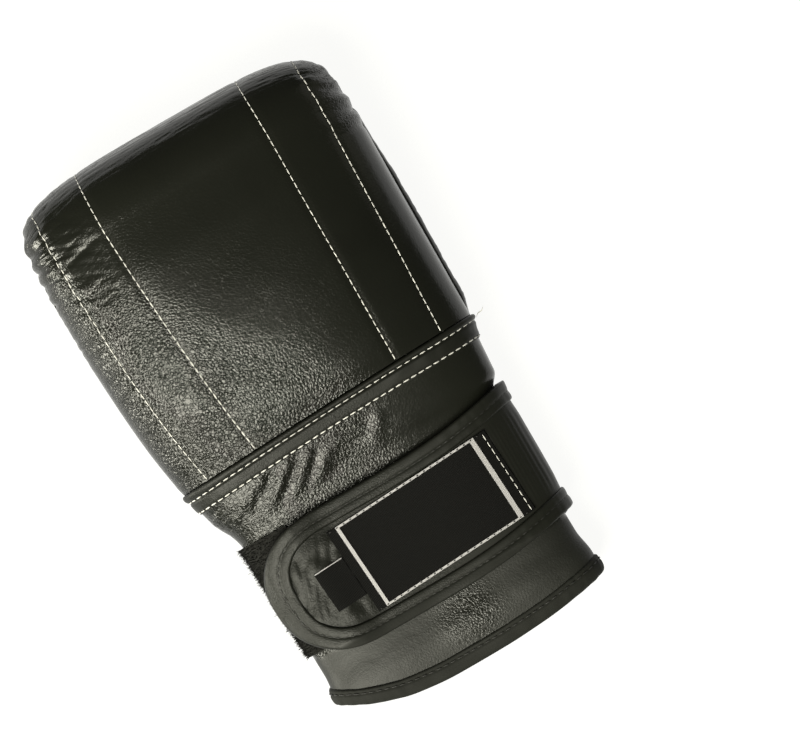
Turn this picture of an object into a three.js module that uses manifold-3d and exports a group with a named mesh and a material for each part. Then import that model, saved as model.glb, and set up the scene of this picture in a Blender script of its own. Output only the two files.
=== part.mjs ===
// A padded leather bag glove for the left hand, lying palm down on a table with its wrist strap closed.
// +X is the thumb side, +Y the fingertips and +Z the back of the hand. Lengths are millimetres.
// Until the last lines, Y is 0 by the seam where the pad ends and the cuff starts, and Z is 0 on the table.
import * as THREE from "three";
import { mergeVertices } from "three/addons/utils/BufferGeometryUtils.js";
import Module from "manifold-3d";

// Driving dimensions
const padLength = 135; // seam to fingertips
const padWidth = 152; // across the knuckles
const padHeight = 63; // table to the highest point of the back
const padFoam = 20; // padding over the back of the hand
const rimFoam = 6; // padding left at the pad's sewn side edges
const tipDepth = 30; // length of the roll over the fingertips
const tipFoam = 18; // padding in front of the fingertips
const lobeFoam = 15; // padding of the rounded lobe over the palm
const lobeRound = 12; // how far the lobe's rolled edge reaches in
const rimTurn = 3; // radius of the side edge's turn round the gathered corner
const seamSlant = 6.4; // how much the seam rises towards the thumb side
const seamDrop = 0.7; // how far below Y 0 its middle is
const seamBow = 0.45; // and how much lower than a straight line its ends are
const cuffLength = 125; // seam to wrist edge
const cuffWidth = 124; // across the wrist
const cuffHeight = 39; // table to the top of the wrist tube
const leather = 1.6; // thickness of the plain leather
const thumbBelly = 3.3; // how far the leather below the pad swells on the thumb side
const bellyRise = 12; // length over which it swells out, from the seam
const bellyFlat = 65; // seam to where it starts to flatten again
const channelDepth = 1.3; // groove along each stitched line of the pad
const channelWidth = 3.5;
const bandWidth = 9.6; // band sewn over the seam
const bandLeather = 1.2;
const bindingWidth = 8; // rolled edge round the wrist opening
const bindingSwell = 1.6; // how far the rolled edge stands out of the leather on each side
const wristRiseThumb = 6; // the wrist edge is cut higher at the thumb side
const wristRiseOuter = 13; // and higher still at the little-finger side
const strapWidth = 59.5;
const strapThick = 3;
const strapPlace = 65.5; // seam to the middle of the strap, over the back
const strapTilt = 7; // and how much nearer the seam it runs at the thumb side
const strapDip = 1.5; // and how much further down it crosses the palm
const strapStart = 40; // it starts on the palm, this far from the glove's middle
const strapEnd = 55; // and ends on the back, this far from it
const strapRound = 32; // length of its round end
const strapBorder = 8.5; // width of the raised border
const borderSwell = 1.1;
const pileThick = 2; // fuzzy patch that the strap closes on
const pileWidth = 53;
const pileEdge = 37; // glove's middle to the patch's edge on the back
const pileRise = 3.5; // how much nearer the seam than the strap it lies
const labelLength = 76;
const labelWidth = 39.0;
const labelPlace = 14.7; // glove's middle to the label's middle, towards the thumb
const labelDown = 64.1; // seam to the label's middle
const wovenThick = 0.7;
const tagLength = 13;
const tagWidth = 18.5;
const tagPlace = 30; // glove's middle to the tag's middle, towards the little finger
const tagDown = 68;
const stallReach = 112; // thumb pocket, from its base to its tip
const stallSpan = 81.5; // and measured along the glove
const stallBase = 58; // glove's middle to the pocket's base
const stallStart = 31.5; // the pocket begins this far below the seam
const thumbHole = 15; // half width of the way in for the thumb
const thumbHoleLength = 21; // half length of it
const thumbHoleFloor = 4.8; // and how high above the table it ends
const stallRest = 0.9; // table to the pocket's underside
const stallThin = 2; // its least height
const stallGap = 0.5; // clearance between the pocket and the palm leather
const weltRadius = 1.2;
const eyelet = 3; // diameter of the air holes
const gussetWidth = 25;
const gussetPlace = 3; // glove's middle to the elastic's middle, towards the little finger
const gussetThick = 1.2;
const fit = 0.3; // clearance between pieces that touch

// Shares of the pad's length, half width and height. bottom is the palm leather's lowest line there.
const palmRows = [
  { along: -0.035, left: 0.905, right: 0.93, top: 0.762, side: 0.413, bottom: 0.2 },
  { along: 0.0, left: 0.92, right: 0.947, top: 0.77, side: 0.42, bottom: 0.215 },
  { along: 0.15, left: 0.96, right: 0.95, top: 0.8, side: 0.444, bottom: 0.235 },
  { along: 0.37, left: 0.987, right: 0.955, top: 0.8, side: 0.476, bottom: 0.268 },
  { along: 0.6, left: 1.0, right: 0.958, top: 0.8, side: 0.508, bottom: 0.278 },
  { along: 0.78, left: 1.0, right: 0.962, top: 0.8, side: 0.508, bottom: 0.278 },
  { along: 0.9, left: 0.996, right: 0.955, top: 0.8, side: 0.508, bottom: 0.278 },
];
// Shares of the cuff's length, half width and height.
const cuffRows = [
  { down: 0.97, left: 0.898, right: 1.072, top: 0.92, side: 0.51, bottom: 0.048 },
  { down: 0.87, left: 0.916, right: 1.078, top: 0.985, side: 0.525, bottom: 0.08 },
  { down: 0.79, left: 0.905, right: 1.052, top: 0.985, side: 0.53, bottom: 0.135 },
  { down: 0.5, left: 0.927, right: 1.052, top: 0.99, side: 0.54, bottom: 0.135 },
  { down: 0.29, left: 0.948, right: 1.052, top: 1.0, side: 0.55, bottom: 0.135 },
  { down: 0.235, left: 0.975, right: 1.056, top: 1.015, side: 0.568, bottom: 0.142 },
  { down: 0.195, left: 1.018, right: 1.112, top: 1.055, side: 0.588, bottom: 0.163 },
  { down: 0.165, left: 1.045, right: 1.12, top: 1.12, side: 0.61, bottom: 0.2 },
];
// The pad's top line and how much of its foam is there, as shares of its length, height and foam.
const crownRows = [
  { along: -0.04, crown: 0.81, foam: 0.2 },
  { along: 0.0, crown: 0.825, foam: 0.25 },
  { along: 0.05, crown: 0.86, foam: 0.5 },
  { along: 0.15, crown: 0.905, foam: 0.8 },
  { along: 0.37, crown: 0.976, foam: 1 },
  { along: 0.6, crown: 1.0, foam: 1 },
  { along: 0.78, crown: 0.985, foam: 1 },
];
// The lobe's free edge, as shares of the pad's half width (thumb side positive) and of its length.
const lobeEdge = [
  { across: -1.0, along: 0.87 },
  { across: -0.87, along: 0.85 },
  { across: -0.8, along: 0.8 },
  { across: -0.71, along: 0.69 },
  { across: -0.62, along: 0.565 },
  { across: -0.49, along: 0.459 },
  { across: -0.26, along: 0.381 },
  { across: 0.0, along: 0.357 },
  { across: 0.26, along: 0.367 },
  { across: 0.53, along: 0.419 },
  { across: 0.74, along: 0.511 },
  { across: 0.87, along: 0.615 },
  { across: 0.93, along: 0.72 },
  { across: 1.0, along: 0.8 },
];
// The four stitched channels that run up the back, as shares of the pad's half width.
const channels = [-0.838, -0.508, 0.496, 0.82];
// How far each leans outwards from the seam to the roll, in the same shares.
const channelLean = [
  { across: -1.0, lean: 0.0 },
  { across: -0.838, lean: -0.045 },
  { across: -0.508, lean: -0.077 },
  { across: 0.0, lean: 0.0 },
  { across: 0.496, lean: 0.0 },
  { across: 0.82, lean: 0.032 },
  { across: 1.0, lean: 0.0 },
];
// Two of them turn into one arc on the palm side of the roll: share of a half turn, middle and ends.
const channelArcs = [
  { reach: 0.82, middle: 0.85, ends: 0.7 },
  { reach: 0.5, middle: 0.55, ends: 0.5 },
];
// Gathers at the pad's corners: from and to in shares of half width and length, height and width in mm.
const gathers = [
  { x1: -1.0, y1: 0.69, x2: -0.76, y2: 0.662, height: 1.9, width: 2.6 },
  { x1: -1.0, y1: 0.737, x2: -0.6, y2: 0.775, height: -1.2, width: 2.6 },
  { x1: -1.0, y1: 0.775, x2: -0.7, y2: 0.785, height: 1.5, width: 2.6 },
  { x1: -1.0, y1: 0.815, x2: -0.82, y2: 0.845, height: -1.6, width: 2.4 },
  { x1: -1.0, y1: 0.855, x2: -0.82, y2: 0.885, height: 1.3, width: 2.6 },
  { x1: 1.0, y1: 0.705, x2: 0.8, y2: 0.72, height: 1.6, width: 2.6 },
  { x1: 1.0, y1: 0.742, x2: 0.82, y2: 0.78, height: -1.3, width: 2.4 },
  { x1: 1.0, y1: 0.77, x2: 0.8, y2: 0.825, height: 1.4, width: 2.6 },
  { x1: 1.0, y1: 0.84, x2: 0.8, y2: 0.885, height: -1.1, width: 2.4 },
];
// Folds of the cuff between the seam and the strap: x share of half width, y share of cuff length.
const cuffFolds = [
  { x1: -0.07, y1: -0.1, x2: -0.38, y2: -0.27, height: 1.4, width: 3.5 },
  { x1: -0.3, y1: -0.11, x2: -0.62, y2: -0.25, height: 1.2, width: 3.5 },
  { x1: 0.1, y1: -0.12, x2: -0.15, y2: -0.28, height: 0.9, width: 3.5 },
  { x1: -0.55, y1: -0.12, x2: -0.85, y2: -0.2, height: 0.9, width: 3.5 },
];
// Outline of the thumb pocket, as shares of its reach from the base and of its span from the wrist end.
const stallOutline = [
  { across: 0.996, along: 0.84 },
  { across: 0.982, along: 0.902 },
  { across: 0.955, along: 0.951 },
  { across: 0.875, along: 1.0 },
  { across: 0.696, along: 0.963 },
  { across: 0.518, along: 0.871 },
  { across: 0.339, along: 0.785 },
  { across: 0.116, along: 0.73 },
  { across: 0.054, along: 0.613 },
  { across: 0.009, along: 0.448 },
  { across: 0.0, along: 0.276 },
  { across: 0.027, along: 0.104 },
  { across: 0.089, along: 0.012 },
  { across: 0.179, along: 0.0 },
  { across: 0.268, along: 0.08 },
  { across: 0.33, along: 0.147 },
  { across: 0.446, along: 0.19 },
  { across: 0.607, along: 0.325 },
  { across: 0.786, along: 0.485 },
  { across: 0.92, along: 0.656 },
  { across: 0.991, along: 0.791 },
];
const stallMiddle = { across: 0.393, along: 0.448 };
const thumbHolePlace = { across: 0.22, along: 0.38 };
// Folds along the thumb pocket, in the same shares.
const stallFolds = [
  { x1: 0.25, y1: 0.325, x2: 0.65, y2: 0.67, height: 2.2, width: 4.5 },
  { x1: 0.116, y1: 0.57, x2: 0.43, y2: 0.742, height: 1.8, width: 4 },
  { x1: 0.205, y1: 0.264, x2: 0.545, y2: 0.325, height: 1.8, width: 4 },
  { x1: 0.089, y1: 0.172, x2: 0.321, y2: 0.172, height: -1.8, width: 3.5 },
];
// The welt round the pocket's base, in the same shares.
const weltRoute = [
  { across: 0.098, along: 0.76 },
  { across: 0.036, along: 0.63 },
  { across: -0.016, along: 0.448 },
  { across: -0.025, along: 0.27 },
  { across: 0.0, along: 0.085 },
  { across: 0.075, along: -0.022 },
  { across: 0.179, along: -0.036 },
  { across: 0.268, along: -0.022 },
  { across: 0.366, along: 0.018 },
];
const eyelets = [
  { across: -0.06, along: 0.33 },
  { across: 0.178, along: 0.313 },
];
// Outline of the palm slit, as shares of the cuff's half width and of its length.
const slitOutline = [
  { across: 0.016, down: 0.112 },
  { across: -0.145, down: 0.296 },
  { across: -0.145, down: 0.5 },
  { across: -0.21, down: 0.8 },
  { across: -0.21, down: 1.1 },
  { across: -0.177, down: 1.1 },
  { across: -0.177, down: 0.8 },
  { across: 0.097, down: 0.5 },
  { across: 0.097, down: 0.296 },
];

const wasm = await Module();
wasm.setup();

// Helpers for numbers and tables
const mix = (from, to, share) => from + (to - from) * share;
const limit = (value, low, high) => Math.min(high, Math.max(low, value));
const ease = (share) => share * share * (3 - 2 * share);
const steps = (count, from = 0, to = 1) => Array.from({ length: count + 1 }, (_, i) => mix(from, to, i / count));

// One column of a table at a place between its rows, with a smooth curve through the rows.
function follow(rows, key, column, at) {
  const last = rows.length - 1;
  const place = limit(at, rows[0][key], rows[last][key]);
  let i = 0;
  while (i < last - 1 && rows[i + 1][key] < place) i += 1;
  const slope = (j) => {
    const before = rows[Math.max(j - 1, 0)];
    const after = rows[Math.min(j + 1, last)];
    return (after[column] - before[column]) / (after[key] - before[key]);
  };
  const span = rows[i + 1][key] - rows[i][key];
  const t = (place - rows[i][key]) / span;
  const start = (1 + 2 * t) * (1 - t) * (1 - t) * rows[i][column];
  const end = t * t * (3 - 2 * t) * rows[i + 1][column];
  const bend = span * (t * (1 - t) * (1 - t) * slope(i) - t * t * (1 - t) * slope(i + 1));
  return start + end + bend;
}

// Height at a place of the folds in a table, each a soft ridge or groove along a straight line.
function foldsAt(folds, x, y, scaleX, scaleY) {
  let height = 0;
  for (const fold of folds) {
    const from = new THREE.Vector2(fold.x1 * scaleX, fold.y1 * scaleY);
    const run = new THREE.Vector2(fold.x2 * scaleX, fold.y2 * scaleY).sub(from);
    const reach = new THREE.Vector2(x, y).sub(from);
    const share = limit(reach.dot(run) / run.lengthSq(), 0, 1);
    const away = reach.addScaledVector(run, -share).length() / fold.width;
    height += fold.height * Math.exp(-away * away) * (1 - 0.6 * share);
  }
  return height;
}

// Helpers for solids
// A closed plate over a grid of two parameters, between a low and a high surface.
function plate(columns, rows, low, high) {
  const wide = columns.length;
  const long = rows.length;
  const points = [];
  for (const surface of [low, high]) {
    for (const column of columns) {
      for (const row of rows) points.push(...surface(column, row));
    }
  }
  const at = (layer, i, j) => layer * wide * long + i * long + j;
  const faces = [];
  const quad = (a, b, c, d) => faces.push(a, b, c, a, c, d);
  for (let i = 0; i < wide - 1; i += 1) {
    for (let j = 0; j < long - 1; j += 1) {
      quad(at(1, i, j), at(1, i + 1, j), at(1, i + 1, j + 1), at(1, i, j + 1));
      quad(at(0, i, j), at(0, i, j + 1), at(0, i + 1, j + 1), at(0, i + 1, j));
    }
  }
  for (let i = 0; i < wide - 1; i += 1) {
    quad(at(0, i, 0), at(0, i + 1, 0), at(1, i + 1, 0), at(1, i, 0));
    quad(at(1, i, long - 1), at(1, i + 1, long - 1), at(0, i + 1, long - 1), at(0, i, long - 1));
  }
  for (let j = 0; j < long - 1; j += 1) {
    quad(at(1, 0, j), at(1, 0, j + 1), at(0, 0, j + 1), at(0, 0, j));
    quad(at(0, wide - 1, j), at(0, wide - 1, j + 1), at(1, wide - 1, j + 1), at(1, wide - 1, j));
  }
  return closed(points, faces);
}

// A closed lens: rings of points from a middle point out to an outline that both faces share.
function lens(turns, rings, low, high) {
  const points = [];
  const faces = [];
  const start = [];
  for (const surface of [low, high]) {
    start.push(points.length / 3);
    points.push(...surface(0, 0));
    for (const ring of rings.slice(0, -1)) {
      for (let i = 0; i < turns; i += 1) points.push(...surface(i / turns, ring));
    }
  }
  const edge = points.length / 3;
  for (let i = 0; i < turns; i += 1) points.push(...high(i / turns, 1));
  const at = (layer, ring, i) =>
    ring === rings.length - 1 ? edge + (i % turns) : start[layer] + 1 + ring * turns + (i % turns);
  for (const layer of [0, 1]) {
    const face = (a, b, c) => (layer ? faces.push(a, b, c) : faces.push(a, c, b));
    for (let i = 0; i < turns; i += 1) {
      face(start[layer], at(layer, 0, i), at(layer, 0, i + 1));
      for (let ring = 0; ring < rings.length - 1; ring += 1) {
        face(at(layer, ring, i), at(layer, ring + 1, i), at(layer, ring + 1, i + 1));
        face(at(layer, ring, i), at(layer, ring + 1, i + 1), at(layer, ring, i + 1));
      }
    }
  }
  return closed(points, faces);
}

// A geometry from points and faces, turned so that its faces point out.
function closed(points, faces) {
  let volume = 0;
  const corner = (i) => new THREE.Vector3().fromArray(points, 3 * i);
  for (let i = 0; i < faces.length; i += 3) {
    volume += corner(faces[i]).dot(corner(faces[i + 1]).cross(corner(faces[i + 2])));
  }
  const turned = volume < 0 ? faces.toReversed() : faces;
  return new THREE.BufferGeometry()
    .setAttribute("position", new THREE.Float32BufferAttribute(points, 3))
    .setIndex(turned);
}

function solidOf(geometry) {
  const bare = geometry.clone();
  bare.deleteAttribute("normal");
  bare.deleteAttribute("uv");
  const merged = mergeVertices(bare, 1e-4);
  const vertProperties = merged.attributes.position.array;
  const triVerts = new Uint32Array(merged.index.array);
  return new wasm.Manifold(new wasm.Mesh({ numProp: 3, vertProperties, triVerts }));
}

// The first geometry with the others cut out of it.
function cut(geometry, ...tools) {
  let solid = solidOf(geometry);
  for (const tool of tools) solid = solid.subtract(solidOf(tool));
  const mesh = solid.getMesh();
  return new THREE.BufferGeometry()
    .setAttribute("position", new THREE.Float32BufferAttribute(mesh.vertProperties, 3))
    .setIndex(Array.from(mesh.triVerts));
}

// An upright prism over a plan outline, for cutting.
function prism(outline, low, high) {
  const shape = new THREE.Shape(outline.map(([x, y]) => new THREE.Vector2(x, y)));
  return new THREE.ExtrudeGeometry(shape, { depth: high - low, bevelEnabled: false }).translate(0, 0, low);
}

// The leather tube round hand and wrist: one table in millimetres from the two tables of shares.
const padHalf = padWidth / 2;
const cuffHalf = cuffWidth / 2;
const tube = [
  ...cuffRows.map((row) => ({
    y: -row.down * cuffLength,
    left: row.left * cuffHalf,
    right: row.right * cuffHalf,
    top: row.top * cuffHeight,
    side: row.side * cuffHeight,
    bottom: row.bottom * cuffHeight,
  })),
  ...palmRows.map((row) => ({
    y: row.along * padLength,
    left: row.left * padHalf,
    right: row.right * padHalf,
    top: row.top * padHeight,
    side: row.side * padHeight,
    bottom: row.bottom * padHeight,
  })),
];
const cuffSquare = 3.4; // how square the flattened cuff is in section, 2 being an ellipse
const palmSquare = 3;
const wristCurve = 1.5; // how soon the wrist edge rises towards both sides

// Line of the seam across the back
const seamY = (x) => (seamSlant / padWidth) * x - seamDrop - seamBow * (x / padHalf) ** 2;

// Y of the wrist edge at an angle round the tube
function wristY(angle) {
  const side = Math.cos(angle);
  return -cuffLength + (side > 0 ? wristRiseThumb : wristRiseOuter) * Math.abs(side) ** wristCurve;
}

// A place on the tube's outer face, lifted off it by some height.
// The angle is 0 at the thumb side, a quarter turn at the back and a half turn at the little finger.
function tubePoint(y, angle, lift) {
  const c = Math.cos(angle);
  const s = Math.sin(angle);
  const square = s > 0 ? cuffSquare : mix(cuffSquare, palmSquare, ease(limit(y / cuffLength + 0.3, 0, 0.3) / 0.3));
  const side = follow(tube, "y", "side", y);
  const half = follow(tube, "y", c > 0 ? "right" : "left", y);
  const tall = s > 0 ? follow(tube, "y", "top", y) - side : side - follow(tube, "y", "bottom", y);
  const across = Math.sign(c) * Math.abs(c) ** (2 / square);
  const up = Math.sign(s) * Math.abs(s) ** (2 / square);
  const normal = new THREE.Vector2(
    (Math.sign(across) * Math.abs(across) ** (square - 1)) / half,
    (Math.sign(up) * Math.abs(up) ** (square - 1)) / tall,
  ).normalize();
  const swell = c > 0 && s < 0 && y > 0 ? thumbBelly * bellyAlong(y) * bellyAt(-up) : 0;
  return [half * across + swell + normal.x * lift, y, side + tall * up + normal.y * lift];
}

// The thumb side's leather swells out just below the pad and comes back in at the palm.
const bellyAlong = (y) => ease(limit(y / bellyRise, 0, 1)) * (1 - 0.65 * ease(limit((y - bellyFlat) / tipDepth, 0, 1)));
const bellyAt = (down) => 4 * Math.min(down, 0.5) * (1 - Math.min(down, 0.5)) * (1 - ease(limit(2 * down - 1, 0, 1)));

// Height of the palm leather's outer face over the table at a place in plan
function palmZ(x, y) {
  const half = follow(tube, "y", x > 0 ? "right" : "left", y);
  const square = mix(cuffSquare, palmSquare, ease(limit(y / cuffLength + 0.3, 0, 0.3) / 0.3));
  const up = (1 - limit(Math.abs(x) / half, 0, 1) ** square) ** (1 / square);
  const side = follow(tube, "y", "side", y);
  return side - (side - follow(tube, "y", "bottom", y)) * up;
}

// Angle round the tube at which its back or its palm is at some x
function angleAt(x, y, face) {
  const half = follow(tube, "y", x > 0 ? "right" : "left", y);
  const share = limit(Math.abs(x) / half, 0, 1) ** (cuffSquare / 2);
  return face * Math.acos(Math.sign(x) * share);
}

// Padded back, fingertip roll and lobe
const rollStart = padLength - tipDepth;
const rollHalf = (follow(crownRows, "along", "crown", rollStart / padLength) * padHeight) / 2;
const rollArc = Math.PI * Math.sqrt((tipDepth ** 2 + rollHalf ** 2) / 2);
const innerDepth = tipDepth - tipFoam;
const innerMiddle = (2 * rollHalf - padFoam + lobeFoam) / 2;
const innerHalf = innerMiddle - lobeFoam;
const rimMiddle = follow(tube, "y", "side", rollStart) - rimTurn;
const lobeRim = 0.27 * padHeight; // height of the lobe's side edge
const tipSquare = 3.7;
const backSquare = 2.8;
const rollSquare = 2.5; // how square the roll is along the hand
const restPress = 0.9; // the soft lobe is pressed flat on the table by this much

const lobeEdgeY = (share) => padLength * follow(lobeEdge, "across", "along", share);

// Length of the pad's curl, from the top of the roll to the free edge, in the column at a share of half width
function curlLength(share) {
  const edge = lobeEdgeY(share);
  if (edge <= rollStart) return rollArc + rollStart - edge;
  return rollArc * (1 - Math.asin(limit((edge - rollStart) / tipDepth, 0, 1)) / Math.PI);
}

// Depth of the stitched channels at a column and a share of the roll's half turn
function channelAt(column, turn, half) {
  const groove = (away) => Math.exp(-((away / (channelWidth / 2)) ** 2));
  let depth = 0;
  channels.forEach((line, i) => {
    const arc = channelArcs[i === 0 || i === 3 ? 0 : 1];
    if (turn < arc.ends) depth = Math.max(depth, groove((column - line) * half));
  });
  for (const arc of channelArcs) {
    if (Math.abs(column) > arc.reach) continue;
    const line = mix(arc.middle, arc.ends, (column / arc.reach) ** 2);
    depth = Math.max(depth, groove((turn - line) * rollArc));
  }
  return channelDepth * depth;
}

// A place on the pad: its column across, as a share of half width, part of its run, and outer or inner face.
// The run is 0 to 1 from the seam to the roll and 1 to 2 over the roll to the lobe's free edge.
// spare makes the pad that much larger all round.
function padPoint(column, run, outer, spare = 0) {
  const share = column + follow(channelLean, "across", "lean", column) * (Math.min(run, 1) - 0.5);
  const thumb = share > 0;
  const wide = Math.abs(share);
  const start = seamY(share * follow(tube, "y", thumb ? "right" : "left", 0)) - spare;
  let turn = 0;
  let crown;
  let rim;
  let square = backSquare;
  let round = 0;
  let y = mix(start, rollStart, Math.min(run, 1));
  if (run <= 1) {
    const foam = padFoam * follow(crownRows, "along", "foam", y / padLength);
    const top = padHeight * follow(crownRows, "along", "crown", y / padLength);
    crown = [y, outer ? top + spare : top - foam - spare];
    rim = [y, follow(tube, "y", "side", y) - spare];
  } else {
    const whole = curlLength(share) + spare;
    const gone = (run - 1) * whole;
    turn = Math.min(gone / rollArc, 1);
    const s = Math.sin(Math.PI * turn);
    const c = Math.cos(Math.PI * turn);
    const past = Math.max(gone - rollArc, 0);
    y = rollStart - past;
    const deep = outer ? tipDepth + spare : innerDepth - spare;
    const half = outer ? rollHalf + spare : innerHalf - spare;
    const middle = outer ? rollHalf : innerMiddle;
    const press = outer ? restPress * ease(limit(2 * turn - 1, 0, 1)) : 0;
    const forward = Math.abs(s) ** (2 / rollSquare);
    const upward = Math.sign(c) * Math.abs(c) ** (2 / rollSquare);
    crown = [y + deep * forward, middle + half * upward - press];
    const drop = 1 - Math.exp(-past / 6);
    const rimZ = mix(rimMiddle + (rimTurn - spare) * c, lobeRim + spare, turn < 1 ? 0 : drop);
    rim = [y + (rimTurn - spare) * s, rimZ];
    square = mix(backSquare, tipSquare, ease(Math.min(2 * turn, 1)));
    const slope = (lobeEdgeY(share + 0.02) - lobeEdgeY(share - 0.02)) / (0.04 * padHalf);
    const reach = lobeRound * Math.min(Math.hypot(1, slope), 2);
    round = limit((gone - whole + reach) / reach, 0, 1);
  }
  const widthHere = follow(tube, "y", thumb ? "right" : "left", y) * mix(1, thumb ? 0.985 : 0.99, Math.sin(Math.PI * turn));
  const halfWidth = outer ? widthHere + spare : widthHere - rimFoam - spare;
  const up = (1 - wide ** square) ** (1 / square);
  let point = [Math.sign(share) * halfWidth * wide, mix(rim[0], crown[0], up), mix(rim[1], crown[1], up)];
  if (outer) point = liftPad(point, column, share, turn, square, up, halfWidth);
  if (round > 0) {
    const flat = Math.sqrt(1 - (0.96 * round) ** 2);
    const tuck = ease(limit((wide - 0.74) / 0.2, 0, 1));
    point[2] = mix(mix(lobeFoam * 0.55, rim[1] - fit, tuck), point[2], flat);
  }
  point[2] = Math.max(point[2], outer ? -spare : 0);
  return point;
}

// The pad's outer face with its channels and gathers
function liftPad(point, column, share, turn, square, up, halfWidth) {
  const gather = turn < 0.6 ? foldsAt(gathers, point[0], point[1], padHalf, padLength) : 0;
  const lift = gather - channelAt(column, turn, halfWidth);
  const side = Math.sign(share) * Math.abs(share) ** (square - 1);
  const normal = new THREE.Vector2(side, up ** (square - 1)).normalize();
  const angle = Math.PI * turn;
  return [
    point[0] + normal.x * lift,
    point[1] + normal.y * Math.sin(angle) * lift,
    point[2] + normal.y * Math.cos(angle) * lift,
  ];
}

// Columns close together along the channels and at the sides, so that these keep their shape
const channelColumns = channels.flatMap((line) => [line - 0.035, line, line + 0.035]);
const padColumns = [
  ...[-1, -0.98, -0.93, -0.68, -0.35, -0.16, 0.04, 0.24, 0.64, 0.93, 0.98, 1],
  ...channelColumns,
].sort((a, b) => a - b);
const padRuns = [0, 0.03, 0.1, 0.22, 0.38, 0.54, 0.68, 0.8, 0.835, 0.87, 0.905, 0.94, 0.97];
const curlRuns = [...steps(12, 1, 1.66), ...[1.72, 1.79, 1.86, 1.91, 1.95, 1.98, 2]];

function padGeometry(spare) {
  const face = (outer) => (column, run) => padPoint(column, run, outer, spare);
  return plate(padColumns, [...padRuns, ...curlRuns], face(false), face(true));
}

// Thumb pocket
const stallPlace = ({ across, along }) => [stallBase - across * stallReach, along * stallSpan - stallStart];
const stallCurve = new THREE.CatmullRomCurve3(
  stallOutline.map((row) => new THREE.Vector3(...stallPlace(row), 0)),
  true,
);

// The pocket's walls slope to its edge, so its hollow starts further in than they are thick.
const stallSlope = 1.6;

// A place on the pocket's lower or upper face, inset by some distance from its outline and faces
function stallPoint(turn, ring, lower, inset) {
  const edge = stallCurve.getPointAt(turn);
  const middle = new THREE.Vector3(...stallPlace(stallMiddle), 0);
  const out = edge.clone().sub(middle);
  out.setLength(out.length() - stallSlope * inset);
  const place = middle.addScaledVector(out, ring);
  const roof = palmZ(place.x, place.y) - stallGap - inset;
  if (!lower) return [place.x, place.y, roof];
  const swell = (1 - ring ** 2.6) ** (1 / 2.6);
  const lift = foldsAt(stallFolds, stallBase - place.x, place.y + stallStart, stallReach, stallSpan);
  const floor = Math.max(inset, inset + stallRest - lift);
  return [place.x, place.y, mix(roof, Math.min(floor, roof - stallThin), swell)];
}
function stallGeometry(inset) {
  const face = (lower) => (turn, ring) => stallPoint(turn, ring, lower, inset);
  return lens(28, [0.25, 0.5, 0.74, 0.9, 1], face(true), face(false));
}

function thumbHoleOutline(spare) {
  const middle = stallPlace(thumbHolePlace);
  const corners = 20;
  return Array.from({ length: corners }, (_, i) => {
    const angle = (2 * Math.PI * i) / corners;
    return [
      middle[0] + (thumbHole + spare) * Math.cos(angle),
      middle[1] + (thumbHoleLength + spare) * Math.sin(angle),
    ];
  });
}

// Rows along the tube that its pieces share, so that their facets stay parallel, closer where it bends
const tubeShares = [0.87, 0.83, 0.79, 0.65, 0.5, 0.3, 0.25, 0.215, 0.18, 0.14, 0.1, 0.05];
const tubeRows = tubeShares.map((share) => -share * cuffLength);

// Palm leather with the sides of the hand and the palm half of the cuff
const slitDepth = 0.42 * cuffHeight;
const slitCorners = slitOutline.map(({ across, down }) => [across * cuffHalf, -down * cuffLength]);

function palmGeometry() {
  const angles = steps(19, -Math.PI, 0);
  const even = tubeRows[2];
  const face = (lift) => (angle, row) => {
    const start = wristY(angle) + bindingWidth + fit;
    const y = row < even ? mix(even, start, (even - row) / (even + cuffLength)) : row;
    const point = tubePoint(y, angle, lift);
    const upper = follow(tube, "y", "side", y) - fit;
    point[2] = Math.min(point[2], upper);
    return point;
  };
  const rows = [0, 0.1, 0.22, 0.36, 0.48, 0.58, 0.66, 0.72, 0.77, 0.81].map((share) => share * padLength);
  const raw = plate(angles, [-cuffLength, ...tubeRows, ...rows], face(-leather), face(0));
  const holes = eyelets.map(({ across, along }) =>
    new THREE.CylinderGeometry(eyelet / 2, eyelet / 2, padHeight, 10)
      .rotateX(Math.PI / 2)
      .translate(across * padHalf, along * padLength, 0),
  );
  const slit = prism(slitCorners, -padHeight, slitDepth);
  const thumb = prism(thumbHoleOutline(fit), -padHeight, padHeight);
  return cut(raw, padGeometry(fit), slit, thumb, ...holes);
}

// Back half of the cuff. It meets the palm leather in a seam at this angle from each side of the tube.
const sideSeam = 0.0005;

function cuffLift(x, y) {
  const belowBand = ease(limit((seamY(x) - bandWidth - y) / 5, 0, 1));
  const aboveStrap = ease(limit((y + strapPlace - strapTilt - strapWidth / 2) / 5, 0, 1));
  return belowBand * aboveStrap * foldsAt(cuffFolds, x, y, cuffHalf, cuffLength);
}

function cuffGeometry() {
  const angles = [sideSeam, ...steps(16, 0.08, Math.PI - 0.08), Math.PI - sideSeam];
  const face = (lift) => (angle, share) => {
    const from = wristY(angle) + bindingWidth + fit;
    const y = mix(from, seamY(tubePoint(0, angle, 0)[0]) - fit, share);
    const place = tubePoint(y, angle, 0);
    const point = tubePoint(y, angle, lift + cuffLift(place[0], y));
    point[2] = Math.max(point[2], follow(tube, "y", "side", y) + fit / 2);
    return point;
  };
  const rows = [0, 0.09, 0.18, 0.3, 0.5, 0.68, 0.73, 0.77, 0.81, 0.86, 0.93, 1];
  return plate(angles, rows, face(-leather), face(0));
}

// Band over the seam
function bandGeometry() {
  const angles = [0.01, ...steps(22, 0.06, Math.PI - 0.06), Math.PI - 0.01];
  const face = (lift) => (angle, share) => {
    const y = seamY(tubePoint(0, angle, 0)[0]) - fit - share * bandWidth;
    return tubePoint(y, angle, 1.5 * fit + lift);
  };
  return plate(angles, [0, 0.5, 1], face(0), face(bandLeather));
}

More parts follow.
